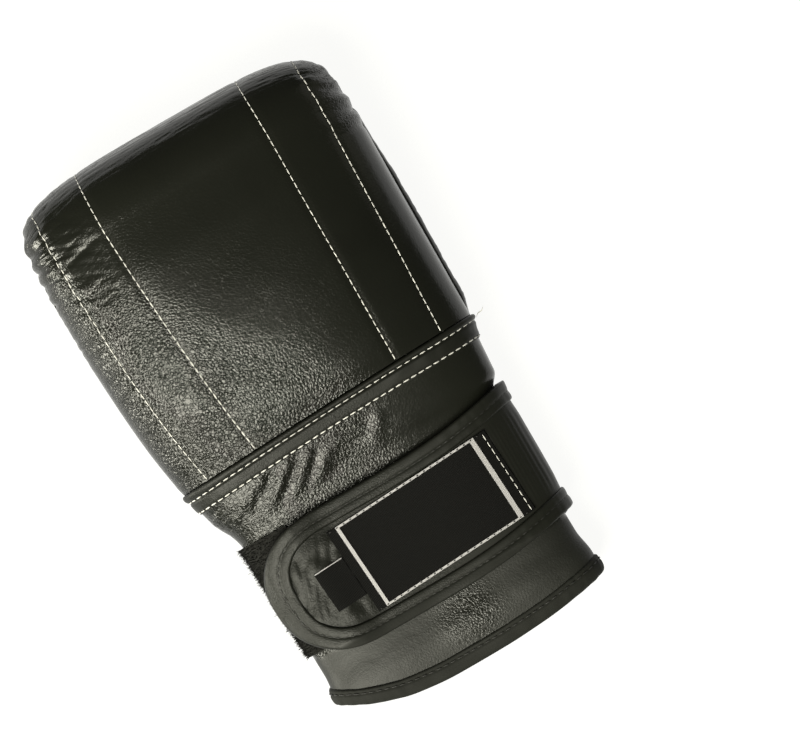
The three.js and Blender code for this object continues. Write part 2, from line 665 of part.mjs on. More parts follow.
// Rolled edge round the wrist opening, broken at the slit
function bindingGeometry() {
  const wristEnd = -cuffLength + bindingWidth;
  const gap = slitCorners.filter(([, y]) => y < -cuffLength).map(([x]) => x);
  const from = angleAt(Math.max(...gap), wristEnd, -1);
  const to = 2 * Math.PI + angleAt(Math.min(...gap), wristEnd, -1);
  const angles = steps(36, from, to);
  const face = (side) => (angle, share) => {
    const y = wristY(angle) + bindingWidth * share;
    const thick = leather / 2 + bindingSwell;
    const swell = thick * Math.max(1 - Math.abs(2 * share - 1) ** 3, 0.05) ** (1 / 3);
    return tubePoint(y, angle, -leather / 2 + side * swell);
  };
  return plate(angles, [0, 0.15, 0.5, 0.85, 1], face(-1), face(1));
}

// Wrist strap: its middle line runs from the palm round the thumb side to its round end on the back
const strapFrom = angleAt(-strapStart, -strapPlace, -1);
const strapReach = (x) => angleAt(-x, -strapPlace, 1);
const roundFrom = strapEnd - strapRound;
const patchFrom = strapReach(pileEdge);
const patchTo = 1.22 * Math.PI;

function strapMiddle(angle) {
  const thumb = Math.max(Math.cos(angle), 0);
  const palm = Math.max(-Math.sin(angle), 0);
  return -strapPlace + strapTilt * thumb ** (palm > 0 ? 5 : 1.5) - strapDip * palm;
}

// Height of the strap's underside over the cuff: it climbs onto the fuzzy patch
function strapSeat(angle) {
  const climb = ease(limit((angle - patchFrom + 0.35) / 0.35, 0, 1));
  return 2 * fit + climb * (pileThick + fit);
}

// Half of the strap's width at an angle: full, then falling to nothing round its end
function strapHalf(angle, narrow = 0) {
  const gone = angle > Math.PI / 2 ? -tubePoint(-strapPlace, angle, 0)[0] - roundFrom : 0;
  const share = limit(gone / (strapRound - narrow), 0, 1);
  return (strapWidth / 2 - narrow) * Math.max(1 - share ** 2.6, 0.002) ** (1 / 2.6);
}

function strapPoint(angle, across, lift) {
  return tubePoint(strapMiddle(angle) + across, angle, strapSeat(angle) + lift);
}

const strapAngles = [
  ...steps(22, strapFrom, strapReach(roundFrom)),
  ...[0.25, 0.46, 0.64, 0.79, 0.9, 0.97, 1].map((share) => strapReach(roundFrom + share * strapRound)),
];

function strapGeometry() {
  const face = (lift) => (angle, share) => strapPoint(angle, share * strapHalf(angle), lift);
  const inner = 1 - (2 * strapBorder) / strapWidth;
  const edge = [inner, (1 + inner) / 2, 1];
  return plate(strapAngles, [...edge.map((share) => -share).reverse(), 0, ...edge], face(0), face(strapThick));
}

// Raised border: it runs up one edge of the strap, round the end and back along the other edge
function borderGeometry() {
  const there = strapAngles.map((angle) => ({ angle, side: 1 }));
  const back = strapAngles.slice(0, -1).toReversed().map((angle) => ({ angle, side: -1 }));
  const inner = (station, narrow) => {
    const angle = Math.min(station.angle, strapReach(strapEnd - narrow));
    return [angle, station.side * strapHalf(angle, narrow)];
  };
  const face = (lift) => (station, share) => {
    const [angle, across] = inner(station, share * strapBorder);
    const swell = borderSwell * Math.sqrt(Math.max(1 - (2 * share - 1) ** 2, 0.08));
    return strapPoint(angle, across, strapThick + 1.5 * fit + (lift ? swell : 0));
  };
  return plate([...there, ...back], [0, 0.5, 1], face(false), face(true));
}

// Fuzzy patch round the little-finger edge of the cuff
function patchGeometry() {
  const angles = steps(12, patchFrom, patchTo);
  const face = (lift) => (angle, across) => tubePoint(pileRise - strapPlace + across, angle, fit + lift);
  return plate(angles, steps(3, -pileWidth / 2, pileWidth / 2), face(0), face(pileThick));
}

// Woven label and tag, laid on the strap and turned a little, as the strap rises towards the thumb
const wovenLean = 0.056;

function wovenGeometry(middle, down, length, width, cells) {
  const face = (lift) => (along, across) => {
    const angle = angleAt(middle + along - wovenLean * across, -strapPlace, 1);
    const y = across + wovenLean * along - down;
    return strapPoint(angle, y - strapMiddle(angle), strapThick + 1.5 * fit + lift);
  };
  const columns = steps(cells, -length / 2, length / 2);
  return plate(columns, steps(4, -width / 2, width / 2), face(0), face(wovenThick));
}

// Elastic strip behind the slit
function gussetGeometry() {
  const from = angleAt(-gussetWidth / 2 - gussetPlace, -strapPlace, -1);
  const to = angleAt(gussetWidth / 2 - gussetPlace, -strapPlace, -1);
  const face = (lift) => (angle, y) => tubePoint(y, angle, lift - leather - fit);
  return plate(steps(4, from, to), tubeRows, face(-gussetThick), face(0));
}

function weltGeometry() {
  const route = weltRoute.map((row) => {
    const [x, y] = stallPlace(row);
    return new THREE.Vector3(x, y, palmZ(x, y) - fit - weltRadius);
  });
  const section = new THREE.Shape().absarc(0, 0, weltRadius, 0, 2 * Math.PI);
  return new THREE.ExtrudeGeometry(section, {
    steps: 26,
    curveSegments: 3,
    bevelEnabled: false,
    extrudePath: new THREE.CatmullRomCurve3(route),
  });
}

// Materials
const finish = (color, roughness) => new THREE.MeshStandardMaterial({ color, roughness, metalness: 0 });
const smoothLeather = finish(0x232420, 0.5);
const glossLeather = finish(0x1d1e1a, 0.32);
const pile = finish(0x161715, 1);
const woven = finish(0x1a1a1a, 0.9);
const elastic = finish(0x20201e, 0.95);

// The glove
const stallShell = () =>
  cut(stallGeometry(0), stallGeometry(leather), prism(thumbHoleOutline(0), thumbHoleFloor, padHeight));
const pieces = [
  ["back_pad", padGeometry(0), smoothLeather],
  ["palm_panel", palmGeometry(), glossLeather],
  ["thumb_stall", stallShell(), glossLeather],
  ["thumb_piping", weltGeometry(), glossLeather],
  ["seam_band", bandGeometry(), smoothLeather],
  ["cuff_back", cuffGeometry(), glossLeather],
  ["cuff_binding", bindingGeometry(), smoothLeather],
  ["slit_gusset", gussetGeometry(), elastic],
  ["wrist_strap", strapGeometry(), smoothLeather],
  ["strap_border", borderGeometry(), smoothLeather],
  ["loop_patch", patchGeometry(), pile],
  ["label", wovenGeometry(labelPlace, labelDown, labelLength, labelWidth, 10), woven],
  ["size_tag", wovenGeometry(-tagPlace, tagDown, tagLength, tagWidth, 3), woven],
];
const glove = new THREE.Group();
for (const [name, geometry, material] of pieces) {
  const mesh = new THREE.Mesh(geometry, material);
  mesh.name = name;
  glove.add(mesh);
}
const box = new THREE.Box3().setFromObject(glove);
const middle = box.getCenter(new THREE.Vector3());
glove.position.set(-middle.x, -middle.y, -box.min.z);

export default glove;
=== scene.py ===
import math
from bisect import bisect_right

import bmesh
import bpy
from mathutils import Matrix, Vector, noise


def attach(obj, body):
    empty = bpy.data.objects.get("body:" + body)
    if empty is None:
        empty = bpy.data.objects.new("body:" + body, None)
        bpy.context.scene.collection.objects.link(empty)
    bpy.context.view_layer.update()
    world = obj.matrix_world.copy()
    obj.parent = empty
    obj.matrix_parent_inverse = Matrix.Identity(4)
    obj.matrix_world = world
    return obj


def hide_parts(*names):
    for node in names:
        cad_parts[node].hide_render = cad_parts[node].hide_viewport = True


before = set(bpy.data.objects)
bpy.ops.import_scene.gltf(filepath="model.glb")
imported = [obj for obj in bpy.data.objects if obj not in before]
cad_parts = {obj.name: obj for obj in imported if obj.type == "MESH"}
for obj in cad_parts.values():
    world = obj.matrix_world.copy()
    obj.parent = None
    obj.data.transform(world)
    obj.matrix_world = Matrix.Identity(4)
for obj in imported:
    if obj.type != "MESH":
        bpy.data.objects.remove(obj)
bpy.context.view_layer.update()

bl_info = {
    "name": "Bag glove",
    "version": (1, 0, 0),
    "blender": (4, 5, 0),
    "location": "View3D > Sidebar > Bag glove",
    "description": "Dresses the solids of a padded leather bag glove with its visible pieces",
    "category": "Object",
}

BODY = "root"
MM = 0.001

# Where the seam's middle lies in the frame, in millimetres: the shapes below are written from there.
SEAM_AT = Vector((1.316, -4.913, 0.0))

# Sizes in millimetres. The solids have them too, but their channels are deeper and a little wider.
PAD_LENGTH = 135
PAD_HALF = 76
PAD_HEIGHT = 63
PAD_FOAM = 20
RIM_FOAM = 6
TIP_DEPTH = 30
TIP_FOAM = 18
LOBE_FOAM = 15
LOBE_ROUND = 12
RIM_TURN = 3
SEAM_SLANT = 6.4
SEAM_DROP = 0.7
SEAM_BOW = 0.45
CUFF_LENGTH = 125
CUFF_HALF = 62
CUFF_HEIGHT = 39
LEATHER = 1.6
THUMB_BELLY = 3.3
BELLY_RISE = 12
BELLY_FLAT = 65
CHANNEL_DEPTH = 0.35
CHANNEL_WIDTH = 3
BAND_WIDTH = 9.6
BAND_LEATHER = 1.2
BINDING_WIDTH = 8
BINDING_SWELL = 1.6
WRIST_RISE_THUMB = 6
WRIST_RISE_OUTER = 13
STRAP_WIDTH = 59.5
STRAP_THICK = 3
STRAP_PLACE = 65.5
STRAP_TILT = 7
STRAP_DIP = 1.5
STRAP_START = 40
STRAP_END = 55
STRAP_ROUND = 32
STRAP_BORDER = 8.5
BORDER_SWELL = 1.1
PILE_THICK = 2
PILE_WIDTH = 53
PILE_EDGE = 37
PILE_RISE = 3.5
LABEL_LENGTH = 76
LABEL_WIDTH = 39
LABEL_PLACE = 14.7
LABEL_DOWN = 64.1
WOVEN_THICK = 0.7
TAG_LENGTH = 13
TAG_WIDTH = 18.5
TAG_PLACE = 30
TAG_DOWN = 68
WOVEN_LEAN = 0.056
STALL_REACH = 112
STALL_SPAN = 81.5
STALL_BASE = 58
STALL_START = 31.5
THUMB_HOLE = 15
THUMB_HOLE_LENGTH = 21
WELT_RADIUS = 1.2
EYELET = 3
STALL_REST = 0.9
STALL_THIN = 2
STALL_GAP = 0.5
STALL_SLOPE = 1.6
GUSSET_WIDTH = 25
GUSSET_PLACE = 3
GUSSET_THICK = 1.2
FIT = 0.3
TUBE_SQUARE = 3.4
PALM_SQUARE = 3.0
WRIST_CURVE = 1.5
PALM_END = 107
PALM_TUCK = 3
PALM_TUCKED = 9
UNDER_STRAP_FROM = -27
UNDER_STRAP_TO = -104
BINDING_ROW = 0.72
BORDER_ROW = 0.54
INNER_ROLL = 0.46
PALM_GIRTH = 190
PALM_RUN = 228
CUFF_GIRTH = 185
CUFF_RUN = 118
TRIM_SEAT = 1.5 * FIT


class Table:
    """A short table with named columns, read along a smooth curve through its rows."""

    def __init__(self, names, *rows):
        self.columns = {name: [row[i] for row in rows] for i, name in enumerate(names.split())}
        self.keys = [row[0] for row in rows]

    def at(self, place, name):
        keys = self.keys
        values = self.columns[name]
        last = len(keys) - 1
        place = limit(place, keys[0], keys[last])
        i = 0
        while i < last - 1 and keys[i + 1] < place:
            i += 1

        def slope(j):
            before = max(j - 1, 0)
            after = min(j + 1, last)
            return (values[after] - values[before]) / (keys[after] - keys[before])

        span = keys[i + 1] - keys[i]
        t = (place - keys[i]) / span
        start = (1 + 2 * t) * (1 - t) * (1 - t) * values[i]
        end = t * t * (3 - 2 * t) * values[i + 1]
        return start + end + span * (t * (1 - t) * (1 - t) * slope(i) - t * t * (1 - t) * slope(i + 1))

    def rows(self):
        names = list(self.columns)
        return [dict(zip(names, row)) for row in zip(*self.columns.values())]


def limit(value, low, high):
    return min(high, max(low, value))


def mix(start, end, share):
    return start + (end - start) * share


def ease(share):
    share = limit(share, 0, 1)
    return share * share * (3 - 2 * share)


def steps(count, start=0.0, end=1.0):
    return [mix(start, end, i / count) for i in range(count + 1)]


def sign(value):
    return (value > 0) - (value < 0)


# The leather tube round hand and wrist: the place along the hand, half widths and heights
TUBE = Table(
    "y left right top side bottom",
    *[
        (-down * CUFF_LENGTH, left * CUFF_HALF, right * CUFF_HALF)
        + tuple(share * CUFF_HEIGHT for share in (top, side, bottom))
        for down, left, right, top, side, bottom in [
            (0.97, 0.898, 1.072, 0.92, 0.51, 0.048),
            (0.87, 0.916, 1.078, 0.985, 0.525, 0.08),
            (0.79, 0.905, 1.052, 0.985, 0.53, 0.135),
            (0.5, 0.927, 1.052, 0.99, 0.54, 0.135),
            (0.29, 0.948, 1.052, 1.012, 0.55, 0.135),
            (0.235, 0.975, 1.056, 1.048, 0.568, 0.142),
            (0.195, 1.018, 1.112, 1.09, 0.588, 0.163),
            (0.165, 1.045, 1.12, 1.12, 0.61, 0.2),
        ]
    ],
    *[
        (along * PAD_LENGTH, left * PAD_HALF, right * PAD_HALF)
        + tuple(share * PAD_HEIGHT for share in (top, side, bottom))
        for along, left, right, top, side, bottom in [
            (-0.035, 0.905, 0.93, 0.762, 0.413, 0.2),
            (0.0, 0.92, 0.947, 0.77, 0.42, 0.215),
            (0.15, 0.96, 0.95, 0.8, 0.444, 0.235),
            (0.37, 0.987, 0.955, 0.8, 0.476, 0.268),
            (0.6, 1.0, 0.958, 0.8, 0.508, 0.278),
            (0.78, 1.0, 0.962, 0.8, 0.508, 0.278),
            (0.9, 0.996, 0.955, 0.8, 0.508, 0.278),
        ]
    ],
)
# The pad's top line and how much of its foam is there, as shares of its height and foam
CROWN = Table(
    "along crown foam",
    (-0.04, 0.81, 0.2),
    (0.0, 0.825, 0.25),
    (0.05, 0.86, 0.5),
    (0.15, 0.905, 0.8),
    (0.37, 0.976, 1),
    (0.6, 1.0, 1),
    (0.78, 0.985, 1),
)
# The lobe's free edge, as shares of the pad's half width and of its length
LOBE_EDGE = Table(
    "across along",
    (-1.0, 0.87),
    (-0.87, 0.85),
    (-0.8, 0.8),
    (-0.71, 0.69),
    (-0.62, 0.565),
    (-0.49, 0.459),
    (-0.26, 0.381),
    (0.0, 0.357),
    (0.26, 0.367),
    (0.53, 0.419),
    (0.74, 0.511),
    (0.87, 0.615),
    (0.93, 0.72),
    (1.0, 0.8),
)
# The four stitched channels up the back, and how far each leans from the seam to the roll
CHANNELS = (-0.838, -0.508, 0.496, 0.82)
CHANNEL_LEAN = Table(
    "across lean",
    (-1.0, 0.0),
    (-0.838, -0.045),
    (-0.508, -0.077),
    (0.0, 0.0),
    (0.496, 0.0),
    (0.82, 0.032),
    (1.0, 0.0),
)
CHANNEL_ARCS = Table("reach middle ends", (0.82, 0.85, 0.7), (0.5, 0.55, 0.5)).rows()
# Gathers at the pad's corners, from and to in millimetres, with the height and width of each
GATHERS = Table(
    "x1 y1 x2 y2 height width",
    (-77, 93.5, -57, 89, 0.69, 1.7),
    (-76.5, 90.5, -60, 86.5, -0.48, 1.2),
    (-76.5, 98.5, -46, 105, -0.54, 1.5),
    (-76.5, 102, -60, 103, 0.42, 1.6),
    (-76.5, 105.5, -56, 107.5, -0.42, 1.2),
    (-76.5, 108.5, -60, 111, 0.48, 1.5),
    (-76.5, 112, -61, 116.5, -0.72, 1.4),
    (-76, 116, -62, 120, 0.48, 1.6),
    (-75.5, 120.5, -62, 124, -0.54, 1.3),
    (-74, 125, -60, 128, 0.3, 1.5),
    (-76.5, 84.5, -62, 80, -0.3, 1.3),
    (-76.5, 77.5, -62, 72, -0.21, 1.2),
    (75.5, 96, 60, 97.5, 0.66, 1.7),
    (75, 99.5, 60, 104, -0.54, 1.4),
    (74.5, 103.5, 61, 110, 0.54, 1.6),
    (74, 108, 60, 116, -0.54, 1.3),
    (73, 112.5, 60, 119, 0.36, 1.5),
    (72, 117, 60, 122, -0.42, 1.2),
    (71, 121, 59, 126, 0.3, 1.4),
    (75.5, 92, 62, 91.5, -0.36, 1.2),
).rows()
# The same on the palm side of the corners
LOBE_GATHERS = Table(
    "x1 y1 x2 y2 height width",
    (-70, 93, -57, 92, 0.7, 1.6),
    (-71, 97, -56, 96.5, -0.9, 1.3),
    (-71, 101.5, -56, 102, 0.8, 1.6),
    (-72, 106, -57, 107.5, -1.0, 1.3),
    (-72, 111, -58, 113, 0.8, 1.6),
    (-72, 115.5, -58, 118, -0.8, 1.3),
    (-70, 120, -58, 122.5, 0.6, 1.5),
    (-68, 124, -57, 126, -0.5, 1.2),
    (72, 98, 61, 102.5, -1.4, 1.5),
    (72, 103, 60, 106.5, 0.9, 1.6),
    (72, 107.5, 60, 110, -0.7, 1.2),
    (71, 112, 60, 114.5, 0.7, 1.6),
    (70, 117, 59, 119.5, -0.5, 1.2),
).rows()
# Folds of the cuff between the seam and the strap
CUFF_FOLDS = Table(
    "x1 y1 x2 y2 height width",
    (-4, -12.5, -24, -34, 1.26, 2.2),
    (-9, -13.5, -26, -31, -0.77, 1.6),
    (-13, -13.5, -33, -31, 1.12, 2.0),
    (-20, -14, -38, -29, -0.7, 1.6),
    (-24, -14, -43, -30, 1.12, 2.4),
    (6, -14, -9, -35, 0.77, 2.2),
    (0, -15, -15, -36, -0.63, 1.6),
    (-33, -15, -50, -26, -0.63, 1.8),
    (-38, -15, -57, -24, 0.77, 2.4),
    (18, -16, 4, -34, 0.42, 2.6),
    (12, -15, -2, -33, -0.42, 1.8),
    (-50, -15, -62, -20, 0.49, 2.2),
).rows()
# Sets of creases: depth, direction in degrees, length and spacing in millimetres, and a seed for each
LEFT_CREASES = ((0.3, -18, 26, 4.2, 2.0), (0.2, 8, 17, 3.1, 5.0))
RIGHT_CREASES = ((0.3, 16, 20, 3.6, 7.0),)
LOBE_CREASES = ((0.3, 5, 20, 3.6, 8.0),)
TIP_CREASES = ((0.18, 2, 46, 3.0, 11.0), (0.12, -4, 30, 1.9, 13.0))
STALL_CREASES = ((0.5, 35, 26, 6, 21.0), (0.35, 10, 15, 4, 23.0))
PALM_CREASES = ((0.45, 60, 18, 5, 33.0), (0.3, -20, 14, 4, 35.0))
CUFF_CREASES = ((0.4, 50, 16, 3.6, 41.0), (0.25, 75, 9, 3, 43.0))
LOWER_CREASES = ((0.1, 15, 20, 5, 47.0),)
STRAP_CREASES = ((0.6, 70, 15, 3.5, 63.0),)
INNER_STRAP_CREASES = ((0.3, 80, 18, 6, 65.0),)
# Outline of the thumb pocket, as shares of its reach from the base and of its span
STALL_OUTLINE = Table(
    "across along",
    (0.996, 0.84),
    (0.982, 0.902),
    (0.955, 0.951),
    (0.875, 1.0),
    (0.696, 0.963),
    (0.518, 0.871),
    (0.339, 0.785),
    (0.116, 0.73),
    (0.054, 0.613),
    (0.009, 0.448),
    (0.0, 0.276),
    (0.027, 0.104),
    (0.089, 0.012),
    (0.179, 0.0),
    (0.268, 0.08),
    (0.33, 0.147),
    (0.446, 0.19),
    (0.607, 0.325),
    (0.786, 0.485),
    (0.92, 0.656),
    (0.991, 0.791),
).rows()
STALL_MIDDLE = (0.393, 0.448)
THUMB_HOLE_PLACE = (0.22, 0.38)
STALL_FOLDS = Table(
    "x1 y1 x2 y2 height width",
    (28, 26.5, 72.8, 54.6, 2.2, 4.2),
    (13, 46.5, 48.2, 60.5, 1.8, 3.6),
    (23, 21.5, 61, 26.5, 1.8, 3.6),
    (10, 14, 36, 14, -1.8, 3.2),
    (50, 62, 82, 73, -1.0, 3.0),
    (60, 44, 90, 62, -0.9, 2.6),
    (8, 32, 22, 40, 1.0, 2.6),
).rows()
WELT_ROUTE = Table(
    "across along",
    (0.098, 0.76),
    (0.036, 0.63),
    (-0.016, 0.448),
    (-0.025, 0.27),
    (0.0, 0.085),
    (0.075, -0.022),
    (0.179, -0.036),
    (0.268, -0.022),
    (0.366, 0.018),
).rows()
EYELETS = ((-4.6, 44.5), (13.5, 42.3))
# Outline of the palm slit, as shares of the cuff's half width and of its length
SLIT_OUTLINE = Table(
    "across down",
    (0.016, 0.112),
    (-0.145, 0.296),
    (-0.145, 0.5),
    (-0.21, 0.8),
    (-0.21, 1.1),
    (-0.177, 1.1),
    (-0.177, 0.8),
    (0.097, 0.5),
    (0.097, 0.296),
).rows()
# How wide a crease is in its noise
CREASE_WIDTH = 0.1
# The seam band, from the seam down: its two stitched lines in millimetres
BAND_LINES = Table(
    "x upper lower",
    (-70, 3.7, 9.3),
    (-30, 3.0, 8.9),
    (0, 2.7, 8.7),
    (30, 2.6, 9.0),
    (60, 2.8, 9.4),
    (73, 2.3, 9.1),
)


# Shapes that follow the solids. All places are in millimetres from the seam's middle.
def folds_at(folds, x, y):
    """Height at a place of the folds in a table, each a soft ridge or groove along a line."""
    height = 0.0
    for fold in folds:
        run_x = fold["x2"] - fold["x1"]
        run_y = fold["y2"] - fold["y1"]
        reach_x = x - fold["x1"]
        reach_y = y - fold["y1"]
        share = limit((reach_x * run_x + reach_y * run_y) / (run_x * run_x + run_y * run_y), 0, 1)
        away_x = reach_x - share * run_x
        away_y = reach_y - share * run_y
        away = (away_x * away_x + away_y * away_y) / (fold["width"] * fold["width"])
        if away < 9:
            height += fold["height"] * math.exp(-away) * (1 - 0.6 * share)
    return height


def creases(sets, x, y):
    """Depth at a place of sharp little valleys, which run mostly in one direction and wander."""
    lift = 0.0
    for depth, turn, along, across, seed in sets:
        c = math.cos(math.radians(turn))
        s = math.sin(math.radians(turn))
        u = (x * c + y * s) / along
        v = (y * c - x * s) / across
        bend = noise.noise(Vector((u * 0.7, v * 0.3, seed + 9.5)))
        value = noise.noise(Vector((u, v + 0.8 * bend, seed)))
        lift += depth * math.exp(-((value / CREASE_WIDTH) ** 2))
    return lift


def seam_y(x):
    return SEAM_SLANT / (2 * PAD_HALF) * x - SEAM_DROP - SEAM_BOW * (x / PAD_HALF) ** 2


def wrist_y(angle):
    side = math.cos(angle)
    rise = WRIST_RISE_THUMB if side > 0 else WRIST_RISE_OUTER
    return -CUFF_LENGTH + rise * abs(side) ** WRIST_CURVE


def palm_square(y):
    return mix(TUBE_SQUARE, PALM_SQUARE, ease(limit(y / CUFF_LENGTH + 0.3, 0, 0.3) / 0.3))


def tube_point(y, angle, lift):
    """A place on the tube's outer face, lifted off it. Angle 0 is the thumb side, a quarter turn the back."""
    c = math.cos(angle)
    s = math.sin(angle)
    square = TUBE_SQUARE if s > 0 else palm_square(y)
    side = TUBE.at(y, "side")
    half = TUBE.at(y, "right" if c > 0 else "left")
    tall = TUBE.at(y, "top") - side if s > 0 else side - TUBE.at(y, "bottom")
    across = sign(c) * abs(c) ** (2 / square)
    up = sign(s) * abs(s) ** (2 / square)
    normal_x = sign(across) * abs(across) ** (square - 1) / half
    normal_z = sign(up) * abs(up) ** (square - 1) / tall
    long = math.hypot(normal_x, normal_z)
    swell = 0.0
    if c > 0 and s < 0 and y > 0:
        down = min(-up, 0.5)
        swell = THUMB_BELLY * ease(y / BELLY_RISE) * 4 * down * (1 - down) * (1 - ease(-2 * up - 1))
        swell *= 1 - 0.65 * ease((y - BELLY_FLAT) / TIP_DEPTH)
    return (half * across + swell + normal_x / long * lift, y, side + tall * up + normal_z / long * lift)


def palm_z(x, y):
    """Height of the palm leather's outer face at a place in plan."""
    half = TUBE.at(y, "right" if x > 0 else "left")
    square = palm_square(y)
    up = (1 - limit(abs(x) / half, 0, 1) ** square) ** (1 / square)
    side = TUBE.at(y, "side")
    return side - (side - TUBE.at(y, "bottom")) * up


def angle_at(x, y, face):
    half = TUBE.at(y, "right" if x > 0 else "left")
    share = limit(abs(x) / half, 0, 1) ** (TUBE_SQUARE / 2)
    return face * math.acos(sign(x) * share)


ROLL_START = PAD_LENGTH - TIP_DEPTH
ROLL_HALF = CROWN.at(ROLL_START / PAD_LENGTH, "crown") * PAD_HEIGHT / 2
ROLL_ARC = math.pi * math.sqrt((TIP_DEPTH**2 + ROLL_HALF**2) / 2)
INNER_DEPTH = TIP_DEPTH - TIP_FOAM
INNER_MIDDLE = (2 * ROLL_HALF - PAD_FOAM + LOBE_FOAM) / 2
INNER_HALF = INNER_MIDDLE - LOBE_FOAM
RIM_MIDDLE = TUBE.at(ROLL_START, "side") - RIM_TURN
LOBE_RIM = 0.27 * PAD_HEIGHT
TIP_SQUARE = 3.7
BACK_SQUARE = 2.8
REST_PRESS = 0.9
ROLL_SQUARE = 2.5
# From this share of the roll's turn on, the leather is the palm's side of it
PALM_SIDE = 0.55


def lobe_edge_y(share):
    return PAD_LENGTH * LOBE_EDGE.at(share, "along")


def curl_length(share):
    """Length of the pad's curl, from the top of the roll to the free edge."""
    edge = lobe_edge_y(share)
    if edge <= ROLL_START:
        return ROLL_ARC + ROLL_START - edge
    return ROLL_ARC * (1 - math.asin(limit((edge - ROLL_START) / TIP_DEPTH, 0, 1)) / math.pi)


def channel_arc(column):
    """The arc over the fingertips that a channel runs into: the outer two share one, and the inner two."""
    return CHANNEL_ARCS[0 if column in (CHANNELS[0], CHANNELS[-1]) else 1]


def channel_at(column, turn, half):
    """Depth of the stitched channels, 0 to 1."""
    depth = 0.0
    for line in CHANNELS:
        if turn < channel_arc(line)["ends"]:
            depth = max(depth, math.exp(-(((column - line) * half / (CHANNEL_WIDTH / 2)) ** 2)))
    for arc in CHANNEL_ARCS:
        if abs(column) <= arc["reach"]:
            line = arc_turn(arc, column)
            depth = max(depth, math.exp(-(((turn - line) * ROLL_ARC / (CHANNEL_WIDTH / 2)) ** 2)))
    return depth


def arc_turn(arc, column):
    return mix(arc["middle"], arc["ends"], (column / arc["reach"]) ** 2)


def pad_relief(x, y, turn, column, half):
    """Height of the pad's channels, gathers, creases and softness over its smooth form."""
    lift = -CHANNEL_DEPTH * channel_at(column, turn, half)
    lift += 0.35 * noise.noise(Vector((x / 38, y / 45, 3 + turn)))
    left = ease((-x - 36) / 26)
    right = ease((x - 52) / 16)
    if turn < PALM_SIDE:
        lift += folds_at(GATHERS, x, y)
        high = ease((y - 50) / 22)
        lift -= left * high * creases(LEFT_CREASES, x, y)
        lift -= right * ease((y - 88) / 12) * creases(RIGHT_CREASES, x, y)
    else:
        low = ease((turn - PALM_SIDE) / 0.15)
        lift += low * folds_at(LOBE_GATHERS, x, y)
        lift -= low * (left + right) * ease((y - 70) / 20) * creases(LOBE_CREASES, x, y)
    tip = ease((turn - 0.12) / 0.15) * (1 - ease((turn - 0.62) / 0.15))
    if tip > 0:
        lift -= tip * creases(TIP_CREASES, x, turn * ROLL_ARC)
    return lift


def pad_point(column, run, outer, spare=0.0, relief=True):
    """A place on the pad. The run is 0 to 1 from the seam to the roll and 1 to 2 on to the lobe's edge."""
    share = column + CHANNEL_LEAN.at(column, "lean") * (min(run, 1) - 0.5)
    thumb = share > 0
    wide = abs(share)
    side = "right" if thumb else "left"
    start = seam_y(share * TUBE.at(0, side)) - spare
    turn = 0.0
    square = BACK_SQUARE
    rounding = 0.0
    y = mix(start, ROLL_START, min(run, 1))
    if run <= 1:
        foam = PAD_FOAM * CROWN.at(y / PAD_LENGTH, "foam")
        top = PAD_HEIGHT * CROWN.at(y / PAD_LENGTH, "crown")
        crown = (y, top + spare if outer else top - foam - spare)
        rim = (y, TUBE.at(y, "side") - spare)
    else:
        whole = curl_length(share) + spare
        gone = (run - 1) * whole
        turn = min(gone / ROLL_ARC, 1)
        s = math.sin(math.pi * turn)
        c = math.cos(math.pi * turn)
        past = max(gone - ROLL_ARC, 0)
        y = ROLL_START - past
        deep = TIP_DEPTH + spare if outer else INNER_DEPTH - spare
        half = ROLL_HALF + spare if outer else INNER_HALF - spare
        middle = ROLL_HALF if outer else INNER_MIDDLE
        press = REST_PRESS * ease(2 * turn - 1) if outer else 0
        forward = s ** (2 / ROLL_SQUARE)
        upward = sign(c) * abs(c) ** (2 / ROLL_SQUARE)
        crown = (y + deep * forward, middle + half * upward - press)
        drop = 0 if turn < 1 else 1 - math.exp(-past / 6)
        rim = (y + (RIM_TURN - spare) * s, mix(RIM_MIDDLE + (RIM_TURN - spare) * c, LOBE_RIM + spare, drop))
        square = mix(BACK_SQUARE, TIP_SQUARE, ease(2 * turn))
        slope = (lobe_edge_y(share + 0.02) - lobe_edge_y(share - 0.02)) / (0.04 * PAD_HALF)
        reach = LOBE_ROUND * min(math.hypot(1, slope), 2)
        rounding = limit((gone - whole + reach) / reach, 0, 1)
    half_width = TUBE.at(y, side) * mix(1, 0.985 if thumb else 0.99, math.sin(math.pi * turn))
    half_width += spare if outer else -RIM_FOAM - spare
    up = max(1 - wide**square, 0) ** (1 / square)
    point = [sign(share) * half_width * wide, mix(rim[0], crown[0], up), mix(rim[1], crown[1], up)]
    if outer and relief:
        lift = pad_relief(point[0], point[1], turn, column, half_width)
        normal_x = sign(share) * wide ** (square - 1)
        normal_up = up ** (square - 1)
        long = math.hypot(normal_x, normal_up)
        angle = math.pi * turn
        point[0] += normal_x / long * lift
        point[1] += normal_up / long * math.sin(angle) * lift
        point[2] += normal_up / long * math.cos(angle) * lift
    if rounding > 0:
        flat = math.sqrt(1 - (0.96 * rounding) ** 2)
        tuck = ease((wide - 0.74) / 0.2)
        point[2] = mix(mix(LOBE_FOAM * 0.55, rim[1] - FIT, tuck), point[2], flat)
    point[2] = max(point[2], -spare if outer else 0)
    return point


def stall_place(across, along):
    return (STALL_BASE - across * STALL_REACH, along * STALL_SPAN - STALL_START)


